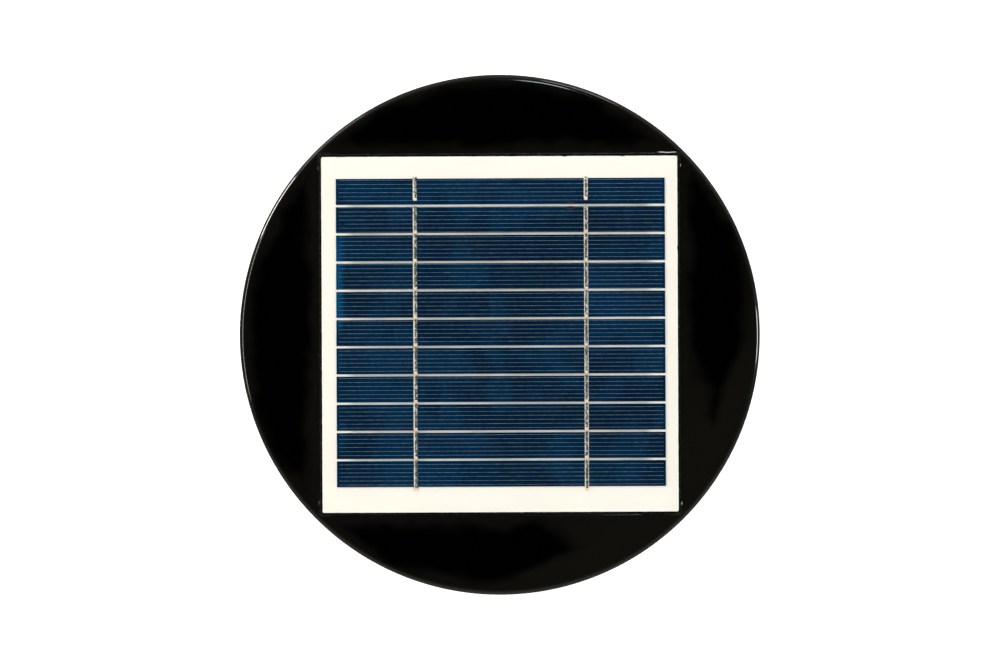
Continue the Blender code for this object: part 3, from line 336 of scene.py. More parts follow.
def add_piece(name, shape, material, nodes=(), body="root", bevel=0.0, cuts=None):
    """One shown piece: cut, bevelled and shaded, riding on a body in place of CAD nodes."""
    piece = bpy.data.objects.new(name, mesh_of(name, shape))
    piece.data.materials.append(material)
    bpy.context.scene.collection.objects.link(piece)
    if cuts:
        cut_away(piece, cuts)
    if bevel:
        edges = piece.modifiers.new("edges", "BEVEL")
        edges.width = bevel
        edges.segments = 3
        edges.limit_method = "ANGLE"
        edges.angle_limit = math.radians(30)
    bake_modifiers(piece)
    piece.data.shade_smooth()
    piece.data.set_sharp_from_angle(angle=math.radians(32))
    normals = piece.modifiers.new("normals", "WEIGHTED_NORMAL")
    normals.keep_sharp = True
    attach(piece, body)
    if nodes:
        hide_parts(*nodes)
    return piece


def cut_away(piece, shape):
    tool = bpy.data.objects.new("cutter", mesh_of("cutter", shape))
    bpy.context.scene.collection.objects.link(tool)
    modifier = piece.modifiers.new("cut", "BOOLEAN")
    modifier.operation = "DIFFERENCE"
    modifier.object = tool
    bake_modifiers(piece)
    bpy.data.objects.remove(tool)


def bake_modifiers(piece):
    if not piece.modifiers:
        return
    bpy.context.view_layer.update()
    evaluated = piece.evaluated_get(bpy.context.evaluated_depsgraph_get())
    baked = bpy.data.meshes.new_from_object(evaluated)
    piece.modifiers.clear()
    piece.data = baked


# ---- materials ----

class Nodes:
    """Short names for the nodes of a tree, and the place on the surface or in the room."""

    def __init__(self, tree, coordinates):
        self.tree = tree
        self.place = self.node("ShaderNodeTexCoord", coordinates)

    def feed(self, socket, value):
        """Sets a socket to a number or colour, or feeds it from another node."""
        if isinstance(value, bpy.types.NodeSocket):
            self.tree.links.new(value, socket)
        elif socket.type == "RGBA":
            socket.default_value = (*value, 1.0)
        else:
            socket.default_value = value

    def node(self, kind, output=0, **inputs):
        """A new node. Its settings and inputs are given by name, with _ for a space."""
        made = self.tree.nodes.new(kind)
        for name, value in inputs.items():
            if hasattr(made, name):
                setattr(made, name, value)
            else:
                self.feed(made.inputs[name.replace("_", " ")], value)
        return made.outputs[output]

    def along(self, axis):
        """The place's X, Y or Z."""
        return self.node("ShaderNodeSeparateXYZ", axis, Vector=self.place)

    def noise(self, size, detail=2.0, vector=None):
        """Noise from 0 to 1, with features of a size in metres."""
        return self.node("ShaderNodeTexNoise", Scale=1 / size, Detail=detail, Vector=vector or self.place)

    def stretched(self, x, y, z):
        """The place, with each axis multiplied by a factor, for grain that runs one way."""
        return self.node("ShaderNodeMapping", Vector=self.place, Scale=(x, y, z))

    def spread(self, value, low, high, start=0.0, end=1.0):
        """A value mapped from low to high onto start to end, smoothly and clamped."""
        return self.node("ShaderNodeMapRange", interpolation_type="SMOOTHSTEP", Value=value,
                         From_Min=low, From_Max=high, To_Min=start, To_Max=end)

    def math(self, operation, first, second=0.0):
        made = self.tree.nodes.new("ShaderNodeMath")
        made.operation = operation
        self.feed(made.inputs[0], first)
        self.feed(made.inputs[1], second)
        return made.outputs[0]

    def distance(self, value, middle=0.0):
        """How far a value is from a middle, without its sign."""
        return self.math("ABSOLUTE", self.math("SUBTRACT", value, middle))

    def mixed(self, share, first, second):
        """A colour between two, by a share from 0 to 1."""
        made = self.tree.nodes.new("ShaderNodeMix")
        made.data_type = "RGBA"
        for index, value in ((0, share), (6, first), (7, second)):
            self.feed(made.inputs[index], value)
        return made.outputs[2]


class Material(Nodes):
    """A node material with a Principled shader."""

    def __init__(self, name, roughness, **sockets):
        self.material = bpy.data.materials.new(name)
        self.material.use_nodes = True
        super().__init__(self.material.node_tree, "Object")
        self.set(Roughness=roughness, **sockets)

    def set(self, **sockets):
        """Sets or feeds the shader's sockets, named with _ for a space."""
        shader = self.tree.nodes["Principled BSDF"]
        for name, value in sockets.items():
            self.feed(shader.inputs[name.replace("_", " ")], value)

    def bump(self, height, depth):
        """Feeds the normal from a height of 0 to 1 that stands for a depth in metres."""
        self.set(Normal=self.node("ShaderNodeBump", Height=height, Distance=depth, Strength=1.0))


def gloss_plastic():
    """Polished black ABS: clean in the middle of each segment, a faint haze along the borders."""
    m = Material("gloss_black_plastic", 0.09)
    x = m.along("X")
    y = m.along("Y")
    flat = m.node("ShaderNodeCombineXYZ", X=x, Y=y)
    radius = m.node("ShaderNodeVectorMath", 1, operation="LENGTH", Vector=flat)
    to_rim = m.math("SUBTRACT", CAP_RADIUS, radius)
    farther = m.math("MAXIMUM", m.math("ABSOLUTE", x), m.math("ABSOLUTE", y))
    to_panel = m.math("SUBTRACT", farther, POCKET_HALF)
    depth = m.math("MINIMUM", to_rim, to_panel)
    cloud = m.noise(22 * MM)
    wander = m.math("MULTIPLY", m.math("SUBTRACT", cloud, 0.5), 16 * MM)
    lean = m.spread(m.math("SUBTRACT", x, y), 100 * MM, 150 * MM)
    kept_back = m.math("MULTIPLY", lean, -12 * MM)
    clean = m.spread(m.math("ADD", m.math("ADD", depth, wander), kept_back), 1 * MM, 9 * MM)
    haze = m.mixed(lean, (0.0026, 0.0025, 0.0020), (0.0034, 0.0032, 0.0023))
    hairs = m.noise(0.5 * MM, 1.0, m.stretched(0.04, 1.0, 0.3))
    cross = m.noise(0.6 * MM, 1.0, m.stretched(1.0, 0.05, 0.3))
    scratches = m.spread(m.math("MAXIMUM", hairs, cross), 0.70, 0.80)
    roughness = m.math("ADD", m.spread(cloud, 0.3, 0.7, 0.06, 0.10), m.math("MULTIPLY", scratches, 0.04))
    m.set(Base_Color=m.mixed(clean, haze, (0.0001, 0.0001, 0.0001)), Roughness=roughness)
    m.bump(m.noise(14 * MM), 0.02 * MM)
    return m.material


def satin_plastic(name, colour, roughness=0.42):
    """Moulded plastic with a fine spark-eroded grain and a little dust."""
    m = Material(name, roughness)
    dust = m.spread(m.noise(9 * MM, 4.0), 0.45, 0.75)
    pale = tuple(channel * 1.8 + 0.004 for channel in colour)
    uneven = m.spread(m.noise(4 * MM, 3.0), 0.3, 0.7, roughness - 0.06, roughness + 0.08)
    m.set(Base_Color=m.mixed(dust, colour, pale), Roughness=uneven)
    m.bump(m.noise(0.35 * MM), 0.010 * MM)
    return m.material


def board_white():
    """White laminate: warm at its border, greyer between the cell strips, where the grey is painted shade."""
    m = Material("white_laminate", 0.35, Specular_IOR_Level=0.3)
    border = m.mixed(m.noise(24 * MM, 3.0), (0.80, 0.775, 0.705), (0.82, 0.795, 0.725))
    # Painted shade: the laminate in the narrow gaps between the cell strips is greyed.
    gap_shade_x = m.spread(m.distance(m.along("X")), 68 * MM, 74 * MM, 1.0, 0.0)
    gap_shade_y = m.spread(m.distance(m.along("Y"), 1.1 * MM), 71.5 * MM, 72.5 * MM, 1.0, 0.0)
    tone = m.spread(m.noise(30 * MM), 0.35, 0.65)
    grey = m.mixed(tone, (0.60, 0.585, 0.54), (0.44, 0.435, 0.40))
    m.set(Base_Color=m.mixed(m.math("MULTIPLY", gap_shade_x, gap_shade_y), border, grey))
    m.bump(m.noise(0.3 * MM), 0.004 * MM)
    return m.material


def silicon():
    """Blue polycrystalline silicon: soft crystal patches that run on from strip to strip."""
    m = Material("cell_silicon", 0.2, Specular_IOR_Level=0.06)
    crystals = m.node("ShaderNodeTexVoronoi", 1, feature="SMOOTH_F1", Smoothness=0.55,
                      Scale=1 / (11 * MM), Vector=m.stretched(1.0, 0.75, 1.0))
    tone = m.math("MULTIPLY", m.node("ShaderNodeSeparateColor", Color=crystals), 0.34)
    tone = m.math("ADD", tone, m.math("MULTIPLY", m.noise(38 * MM), 0.52))
    tone = m.math("ADD", tone, m.math("MULTIPLY", m.noise(3.5 * MM, 3.0), 0.14))
    blue = m.mixed(m.spread(tone, 0.28, 0.72), (0.0, 0.0086, 0.0270), (0.0, 0.0182, 0.0530))
    near_end = m.spread(m.along("X"), -77.6 * MM, -72.5 * MM, 1.0, 0.0)
    upper_strips = m.spread(m.distance(m.along("Y"), 24 * MM), 15 * MM, 26 * MM, 1.0, 0.0)
    m.set(Base_Color=m.mixed(m.math("MULTIPLY", near_end, upper_strips), blue, (0.0, 0.046, 0.130)))
    m.bump(m.noise(0.5 * MM), 0.002 * MM)
    return m.material


def silver_paste():
    m = Material("finger_silver", 0.6, Specular_IOR_Level=0.1)
    worn = m.spread(m.noise(2.2 * MM, 3.0), 0.3, 0.7)
    m.set(Base_Color=m.mixed(worn, (0.090, 0.104, 0.094), (0.220, 0.208, 0.168)))
    m.bump(m.noise(0.1 * MM), 0.01 * MM)
    return m.material


def solder():
    """Tinned ribbon: dull solder, mostly dark and greenish, with bright flecks painted on the tops of the
    lumps as highlights, and a lumpy surface.
    """
    m = Material("tinned_ribbon", 0.5, Specular_IOR_Level=0.4)
    lumps_and_glints = m.noise(0.9 * MM, 3.0)
    patches = m.spread(m.noise(1.5 * MM, 2.0, m.stretched(1.8, 0.8, 1.0)), 0.53, 0.66)
    dull = m.mixed(patches, (0.045, 0.055, 0.042), (0.42, 0.41, 0.35))
    # Painted highlights: pale colour where the lumps stand highest.
    m.set(Base_Color=m.mixed(m.spread(lumps_and_glints, 0.61, 0.67), dull, (0.80, 0.77, 0.68)))
    m.bump(lumps_and_glints, 0.05 * MM)
    return m.material


def patched(name, roughness, specular, patches, limits, first, second, relief=0.0):
    """A surface that changes between two colours in patches, given as a size and a detail."""
    m = Material(name, roughness, Specular_IOR_Level=specular)
    worn = m.noise(*patches)
    m.set(Base_Color=m.mixed(m.spread(worn, *limits), first, second))
    if relief:
        m.bump(worn, relief)
    return m.material


def mark(name, first, second):
    return patched(name, 0.35, 0.3, (0.8 * MM, 3.0), (0.35, 0.65), first, second)


def clear_film():
    """Clear cover, with the faintest unevenness."""
    m = Material("clear_cover", 0.04, Base_Color=(0.985, 0.99, 0.985), Transmission_Weight=1.0, IOR=1.2)
    m.bump(m.noise(18 * MM), 0.006 * MM)
    return m.material


def sealant():
    m = Material("black_sealant", 0.22, Base_Color=(0.004, 0.004, 0.004), Specular_IOR_Level=0.2)
    m.set(Roughness=m.spread(m.noise(3 * MM, 3.0), 0.3, 0.7, 0.15, 0.32))
    m.bump(m.noise(2.2 * MM, 3.0), 0.08 * MM)
    return m.material


def metal(name, colour, roughness, grain=0.25 * MM, direction=(1, 1, 1)):
    """Plated or bare metal with fine machining grain and slightly uneven brightness."""
    m = Material(name, roughness, Metallic=1.0)
    cloud = m.spread(m.noise(3 * MM, 3.0), 0.35, 0.7)
    dull = tuple(channel * 0.72 for channel in colour)
    fine = m.noise(grain, 2.0, m.stretched(*direction))
    uneven = m.spread(fine, 0.2, 0.8, roughness - 0.08, roughness + 0.10)
    m.set(Base_Color=m.mixed(cloud, colour, dull), Roughness=uneven)
    m.bump(fine, 0.006 * MM)
    return m.material


def foam():
    """Closed-cell foam: matt, pitted with small cells."""
    m = Material("foam_seal", 0.92, Specular_IOR_Level=0.25)
    cells = m.node("ShaderNodeTexVoronoi", Scale=1 / (0.7 * MM), Vector=m.place)
    m.set(Base_Color=m.mixed(m.spread(cells, 0.1, 0.6), (0.010, 0.010, 0.011), (0.034, 0.034, 0.036)))
    m.bump(cells, 0.12 * MM)
    return m.material


def rubber():
    m = Material("soft_rubber", 0.7)
    bloom = m.spread(m.noise(5 * MM, 4.0), 0.4, 0.75)
    m.set(Base_Color=m.mixed(bloom, (0.012, 0.012, 0.012), (0.028, 0.028, 0.029)))
    m.bump(m.noise(0.2 * MM), 0.015 * MM)
    return m.material


def floor_white():
    m = Material("floor_white", 0.75, Specular_IOR_Level=0.1)
    m.set(Base_Color=m.mixed(m.noise(300 * MM), (0.895, 0.895, 0.895), (0.905, 0.905, 0.905)),
          Emission_Color=NEUTRAL, Emission_Strength=FLOOR_GLOW)
    return m.material


GLOSS = gloss_plastic()
SATIN = satin_plastic("satin_black_plastic", (0.010, 0.010, 0.0095), 0.36)
DARK = satin_plastic("grained_plastic", (0.016, 0.016, 0.017), 0.5)
WHITE = board_white()
SILICON = silicon()
SILVER = silver_paste()
SOLDER = solder()
PRINT = patched("silver_print", 0.5, 0.2, (1.0 * MM, 3.0), (0.36, 0.52),
                (0.30, 0.285, 0.245), (0.68, 0.65, 0.57), 0.01 * MM)
BARE = patched("bare_ribbon", 0.45, 0.4, (0.8 * MM, 2.0), (0.40, 0.58),
               (0.72, 0.44, 0.27), (0.75, 0.70, 0.60), 0.03 * MM)
SCORCH = mark("scorched_silicon", (0.028, 0.010, 0.008), (0.008, 0.008, 0.014))
SPECK = mark("speck", (0.001, 0.002, 0.005), (0.002, 0.004, 0.009))
# Pale grey thread by one corner of the panel: a painted glint on the sealant bead
GLINT = mark("painted_glint", (0.30, 0.34, 0.33), (0.55, 0.60, 0.60))
CLEAR = clear_film()
SEALANT = sealant()
FOAM = foam()
RUBBER = rubber()
ZINC = metal("zinc_plated_steel", (0.62, 0.63, 0.62), 0.34)
STAINLESS = metal("stainless_steel", (0.66, 0.66, 0.65), 0.26, 0.15 * MM, (1, 1, 8))
CLOTH = metal("galvanised_wire", (0.56, 0.57, 0.58), 0.38, 0.1 * MM)
BRONZE = metal("sintered_bronze", (0.50, 0.33, 0.16), 0.5)
COPPER = metal("enamelled_copper", (0.70, 0.27, 0.11), 0.3, 0.3 * MM, (0.1, 1, 1))
BRASS = metal("spring_brass", (0.72, 0.53, 0.24), 0.33)
FERRITE = satin_plastic("ferrite", (0.055, 0.053, 0.056), 0.7)
JACKET = satin_plastic("cable_jacket", (0.018, 0.018, 0.019), 0.5)
RED_WIRE = satin_plastic("red_wire", (0.52, 0.018, 0.014))
BLACK_WIRE = satin_plastic("black_wire", (0.013, 0.013, 0.013))
EPOXY = satin_plastic("diode_epoxy", (0.018, 0.018, 0.018), 0.3)


# ---- cap ----

def at_seat(outline):
    """An outline of (x, y) corners, placed where the panel sits on the cap."""
    return [tuple((PANEL_SEAT @ Vector((x, y, 0)))[:2]) for x, y in outline]


def pocket_outline(step):
    """The pocket's outline, with no edge longer than step."""
    pocket = softened(rectangle(POCKET_HALF, POCKET_HALF), POCKET_CORNER, 8)
    return subdivided(pocket, step)


def dish(radius):
    """How far the cap's top lies below its middle."""
    past = max(0.0, radius - DISH_START) / (CAP_RADIUS - CAP_EDGE[0] - DISH_START)
    return DISH_DEPTH * past * past


def cap_profile():
    """Corners from the cap's upper edge down its skirt, over the screen's seat and to the hole."""
    edge_width, edge_height = CAP_EDGE
    edge_start = CAP_RADIUS - edge_width
    edge_middle = CAP_TOP - DISH_DEPTH - edge_height
    lip = 0.6 * MM
    fillet = 2 * MM
    chamfer = 0.4 * MM
    return [
        *[(edge_start + edge_width * x, edge_middle + edge_height * z) for x, z in arc((0, 0), 1, 87, 0, 14)],
        (CAP_RADIUS, SKIRT_BOTTOM + lip),
        *arc((CAP_RADIUS - lip, SKIRT_BOTTOM + lip), lip, 0, -90, 4)[1:],
        (SKIRT_INNER + lip, SKIRT_BOTTOM),
        *arc((SKIRT_INNER + lip / 2, SKIRT_BOTTOM + lip / 2), lip / 2, -90, -180, 3),
        *arc((SKIRT_INNER - fillet, CAP_UNDERSIDE - fillet), fillet, 0, 90, 5),
        (SEAT_OUTER + chamfer, CAP_UNDERSIDE),
        (SEAT_OUTER, CAP_UNDERSIDE - chamfer),
        (SEAT_OUTER, CAP_UNDERSIDE - SEAT_HEIGHT),
        (SEAT_INNER, CAP_UNDERSIDE - SEAT_HEIGHT),
        (SEAT_INNER, CAP_UNDERSIDE),
        (CAP_HOLE_RADIUS, CAP_UNDERSIDE),
    ]


def cap_shape():
    """The cap as one skin: out from the pocket, over the top and the rim, and back underneath."""
    edge = 0.3 * MM
    pocket = at_seat(pocket_outline(2.6 * MM))
    wide = [tuple(Vector(point) * (1 + edge / POCKET_HALF)) for point in pocket]
    broken = [tuple(Vector(near).lerp(Vector(far), 0.3)) for near, far in zip(pocket, wide)]
    angles = [math.atan2(y, x) for x, y in pocket]

    def level(outline, height):
        return [(x, y, height) for x, y in outline]

    def circle(radius, height):
        return [(radius * math.cos(a), radius * math.sin(a), height) for a in angles]

    def between(share):
        """A loop on the top, part of the way from the pocket's edge to the rim."""
        loop = []
        for start, end in zip(wide, circle(CAP_RADIUS - CAP_EDGE[0], 0)):
            point = Vector(start).lerp(Vector(end[:2]), share)
            loop.append((point.x, point.y, CAP_TOP - dish(point.length)))
        return loop

    loops = [
        circle(CAP_HOLE_RADIUS, POCKET_FLOOR),
        level(pocket, POCKET_FLOOR),
        level(pocket, CAP_TOP - edge),
        level(broken, CAP_TOP - edge * 0.3),
    ]
    loops += [between(share) for share in (0.0, 0.04, 0.25, 0.5, 0.75, 0.9)]
    loops += [circle(radius, height) for radius, height in cap_profile()]
    return lofted(loops, closed=True)


def build_cap():
    sink = [
        (CAP_SCREW_HOLE, POST_OUTER - 3 * MM),
        (CAP_SCREW_HOLE, CAP_SCREW_FLOOR),
        (CAP_SCREW_SINK, CAP_SCREW_FLOOR),
        (CAP_SCREW_SINK, CAP_RADIUS + 3 * MM),
    ]
    hole = shifted(along_x(turned(sink, 48, closed=False)), z=CAP_SCREW_HEIGHT)
    add_piece("cap_shell", cap_shape(), GLOSS, ["top_cap"], cuts=around(hole, POST_ANGLES))


def build_cap_ribs():
    """Under the cap: ribs, bosses that the screws pass through, and an eye for the cable."""
    into_cap = CAP_UNDERSIDE + OVERLAP
    rib_start = 23 * MM
    rib_bend = 82 * MM
    rib_end = 88 * MM
    rib = radial_plate([
        (rib_start, into_cap),
        (rib_start, CAP_UNDERSIDE - 6 * MM),
        (rib_bend, CAP_UNDERSIDE - 6 * MM),
        (rib_end, CAP_UNDERSIDE - 3 * MM),
        (rib_end, into_cap),
    ], 2 * MM)
    face = POST_OUTER + GAP
    back = SKIRT_INNER + 1.2 * MM
    boss_bottom = 70 * MM
    over_post = POST_TOP + GAP
    boss = radial_plate([
        (face, boss_bottom),
        (back, boss_bottom),
        (back, into_cap),
        (POST_INNER, into_cap),
        (POST_INNER, over_post),
        (face, over_post),
    ], POST_WIDTH)
    eye_start = 43 * MM
    eye_end = 48 * MM
    eye_bottom = 90.5 * MM
    eye = radial_plate([
        (eye_start, into_cap),
        (eye_start, eye_bottom),
        (eye_end, eye_bottom),
        (eye_end, into_cap),
    ], 7 * MM)
    eye_hole = cross_rod(CABLE_HOLE, eye_start - 3 * MM, eye_end + 3 * MM, CABLE_HIGH)
    boss_hole = cross_rod(CAP_SCREW_HOLE, POST_OUTER - 3 * MM, CAP_RADIUS, CAP_SCREW_HEIGHT)
    ribs = together([around(rib, GUSSET_ANGLES), around(boss, POST_ANGLES), eye])
    cuts = together([eye_hole, around(boss_hole, POST_ANGLES)])
    add_piece("cap_ribs", ribs, SATIN, bevel=0.35 * MM, cuts=cuts)


# ---- panel ----

def rough_outline(inset):
    """The panel's outline as a saw leaves it: straight, with small chips."""
    half = PANEL_HALF - inset
    sides = rectangle(half - PANEL_TRIM[0], half - PANEL_TRIM[1])
    outline = subdivided(softened(sides, PANEL_CORNER), 1.2 * MM)
    rough = []
    for x, y in outline:
        wave = ragged(2.5 * MM, x, y, 1.0)
        chip = max(0.0, ragged(1.6 * MM, x, y, 10.0) - 0.52)
        inward = 1 - (0.12 * MM * (0.5 + 0.5 * wave) + chip * 1.4 * MM) / half
        rough.append((x * inward + PANEL_SLIP[0], y * inward + PANEL_SLIP[1]))
    return at_seat(rough)


def scaled(outline, factor):
    return [(x * factor, y * factor) for x, y in outline]


def build_laminate():
    board = rough_outline(0.10 * MM)
    board_edge = scaled(board, 0.9985)
    levels = (
        (board_edge, BOARD_LOW.z),
        (board, BOARD_LOW.z + 0.1 * MM),
        (board, BOARD_HIGH.z - 0.05 * MM),
        (board_edge, BOARD_HIGH.z),
    )
    add_piece("panel_laminate", layered(levels), WHITE, ["panel_board"])


def build_cover():
    cover = rough_outline(0.0)
    levels = (
        (cover, BOARD_HIGH.z - 0.1 * MM),
        (cover, COVER_TOP - 0.25 * MM),
        (scaled(cover, 0.9990), COVER_TOP - 0.07 * MM),
        (scaled(cover, 0.9972), COVER_TOP),
    )
    film = add_piece("panel_cover", layered(levels), CLEAR, ["clear_cover"])
    film.visible_shadow = False


def strip_middle(number):
    return CELL_SHIFT[1] + CELL_PITCH * ((CELL_COUNT + 1) / 2 - number)


def finger_shape(number):
    """The printed fingers of one strip. They lie a little differently on every strip."""
    centre_y = strip_middle(number)
    drop = (-5.50 if number % 2 else -6.00) * MM + 0.09 * MM * number
    ends = CELL_HALF[0] - 1.1 * MM
    bars = []
    while drop < CELL_HALF[1] - 0.2 * MM:
        y = centre_y - drop
        low = (CELL_SHIFT[0] - ends, y - FINGER_HALF, CELL_TOP - SUNK)
        high = (CELL_SHIFT[0] + ends, y + FINGER_HALF, CELL_TOP + FINGER_HEIGHT)
        bars.append(box(low, high))
        drop += FINGER_PITCH
    return together(bars)


def build_cells():
    for number in range(1, CELL_COUNT + 1):
        middle_y = strip_middle(number)
        low = (CELL_SHIFT[0] - CELL_HALF[0], middle_y - CELL_HALF[1], CELL_BOTTOM)
        high = (CELL_SHIFT[0] + CELL_HALF[0], middle_y + CELL_HALF[1], CELL_TOP)
        strip = moved(box(low, high), PANEL_SEAT)
        add_piece(f"cell_{number:02d}", strip, SILICON, [f"cell_strip_{number:02d}"], bevel=0.04 * MM)
        add_piece(f"cell_fingers_{number:02d}", moved(finger_shape(number), PANEL_SEAT), SILVER)


def solder_length(left, right, bottom, top, seed):
    """A flat strip of solder with a wavy outline and a lumpy top."""
    steps = max(6, round((top - bottom) / (0.4 * MM)))
    shoulder = 0.1 * MM
    crown = 0.3 * MM
    low_z = CELL_TOP - 0.03 * MM
    loops = []
    for step in range(steps + 1):
        y = bottom + (top - bottom) * step / steps

        def wave(lane):
            return noise.noise(Vector((y / (1.3 * MM), seed, lane)))

        near = left + 0.12 * MM * wave(0.3)
        far = right + 0.12 * MM * wave(5.3)
        top_z = CELL_TOP + (0.17 + 0.09 * wave(2.2)) * MM
        shoulder_z = top_z - 0.05 * MM
        across = [(near, low_z), (far, low_z), (far - shoulder, shoulder_z), (far - crown, top_z),
                  (near + crown, top_z), (near + shoulder, shoulder_z)]
        loops.append([(x, y, z) for x, z in across])
    return lofted(loops)


def build_ribbon(name, side):
    """One tab ribbon: white print under it, and a soldered length with a bare end on every strip. On the
    right ribbon, the pale strips at both edges are painted highlights of its rounded edges.
    """
    x = CELL_SHIFT[0] + side * RIBBON_OFFSET
    on_left = side < 0
    right_edge_glint = 0.4 * MM
    prints_and_edge_glints = []
    lengths = []
    bare_ends = []
    for number in range(1, CELL_COUNT + 1):
        first = number == 1
        top = strip_middle(number) + CELL_HALF[1] + (0.7 if first else 0.3) * MM
        bottom = strip_middle(number) - CELL_HALF[1] + (1.9 if first else -0.3) * MM
        if number == CELL_COUNT:
            bottom -= 1.8 * MM
        seed = number + 20 * side
        wander = 0.12 * MM * noise.noise(Vector((seed * 0.7, 3.1, 0.0)))
        left = x + wander - RIBBON_HALF
        right = x + wander + RIBBON_HALF
        # On the right ribbon this pale strip at its left edge is a painted highlight.
        print_width = (0.62 if on_left else 0.40) * MM
        if first:
            print_width += 0.2 * MM
        low = (left, bottom + 0.4 * MM, CELL_TOP - SUNK)
        high = (left + print_width, top + 0.3 * MM, CELL_TOP + 0.05 * MM)
        prints_and_edge_glints.append(box(low, high))
        # A pale strip along the right ribbon's right edge: a painted highlight.
        if not on_left:
            prints_and_edge_glints.append(box((right - right_edge_glint, low[1], low[2]), (right, high[1] - 0.6 * MM, high[2])))
        solder_left = left + print_width - 0.1 * MM
        solder_right = right - (0.0 if on_left else 0.25 * MM)
        lengths.append(solder_length(solder_left, solder_right, bottom + 1.2 * MM, top, seed))
        bare_ends.append(solder_length(left + 0.3 * MM, solder_right, bottom, bottom + 1.5 * MM, seed + 7))
    add_piece(f"ribbon_{name}", moved(together(lengths), PANEL_SEAT), SOLDER, [f"tab_ribbon_{name}"])
    add_piece(f"ribbon_{name}_print", moved(together(prints_and_edge_glints), PANEL_SEAT), PRINT)
    add_piece(f"ribbon_{name}_bare", moved(together(bare_ends), PANEL_SEAT), BARE)


def blot(x, y, half_x, half_y, seed):
    """A small flat mark with a ragged oval outline, just above the cells. Lengths in millimetres."""
    outline = []
    for x_share, y_share in arc((0, 0), 1, 0, 350, 35):
        swell = 1 + 0.25 * noise.noise(Vector((3 * x_share, 3 * y_share, seed)))
        outline.append(((x + half_x * x_share * swell) * MM, (y + half_y * y_share * swell) * MM))
    return moved(prism(outline, CELL_TOP - SUNK, CELL_TOP + 0.04 * MM), PANEL_SEAT)


def build_marks():
    """Marks of handling: a scorched joint and two dark specks. By one corner, a pale thread on the sealant is
    a painted glint.
    """
    joint = (strip_middle(1) + strip_middle(2)) / 2 / MM
    scorch = [blot(33.6, joint + 1.05, 2.0, 0.55, 1), blot(33.6, joint - 1.2, 2.4, 0.7, 5)]
    add_piece("scorch_mark", together(scorch), SCORCH)
    specks = [blot(-74.3, 52.0, 1.3, 0.5, 2), blot(-50.6, 24.6, 0.6, 0.5, 3)]
    add_piece("cell_specks", together(specks), SPECK)
    # A pale thread on the sealant bead by the corner: a painted glint, coloured to stand for a highlight.
    along = POCKET_HALF - 0.05 * MM
    height = CAP_TOP - 0.1 * MM
    points = [Vector((x * MM, along + 0.1 * MM * math.sin(x), height)) for x in range(76, 85)]
    add_piece("bead_glint_thread", moved(sweep(points, 0.17 * MM, 10), PANEL_SEAT), GLINT)


def build_bead():
    """Adhesive under the board, with the sealant that fills the groove round it."""
    outer = at_seat(pocket_outline(1.5 * MM))
    inner = (PANEL_HALF - 14 * MM) / POCKET_HALF
    # how far out, as a part of the pocket's half width, and height in millimetres over its floor
    profile = ((1.0, 0.0), (1.0, 1.0), (0.9975, 1.25), (0.9945, 1.32), (0.9915, 1.18), (0.9900, 0.80),
               (0.9900, 0.12), (inner, 0.10), (inner, 0.0))
    loops = []
    for scale, height in profile:
        loop = []
        for x, y in outer:
            sag = 0.10 * ragged(6 * MM, x, y, 4.0) if height > 0.9 else 0.0
            z = POCKET_FLOOR + (height + sag) * MM
            loop.append((x * scale, PANEL_SHIFT + (y - PANEL_SHIFT) * scale, z))
        loops.append(loop)
    add_piece("panel_sealant", lofted(loops, closed=True), SEALANT, ["panel_adhesive"])


# ---- base, gasket and screen ----

def build_base_ring():
    profile = [
        (COLLAR_INNER, 0.0),
        (COLLAR_RADIUS, 0.0),
        (COLLAR_RADIUS, FLANGE_BOTTOM),
        (FLANGE_RADIUS, FLANGE_BOTTOM),
        (FLANGE_RADIUS, FLANGE_TOP),
        (SEAT_OUTER, FLANGE_TOP),
        (SEAT_OUTER, FLANGE_TOP + SEAT_HEIGHT),
        (SEAT_INNER, FLANGE_TOP + SEAT_HEIGHT),
        (SEAT_INNER, FLANGE_TOP),
        (COLLAR_RADIUS, FLANGE_TOP),
        (COLLAR_RADIUS, COLLAR_TOP),
        (COLLAR_INNER, COLLAR_TOP),
    ]
    roof_hole = shifted(rod(2.6 * MM, FLANGE_BOTTOM - 5 * MM, FLANGE_TOP + 5 * MM), x=ROOF_HOLE_CIRCLE)
    add_piece("base_ring", turned(softened(profile, 0.6 * MM), ROUND), SATIN, ["base_housing"],
              cuts=around(roof_hole, GUSSET_ANGLES))


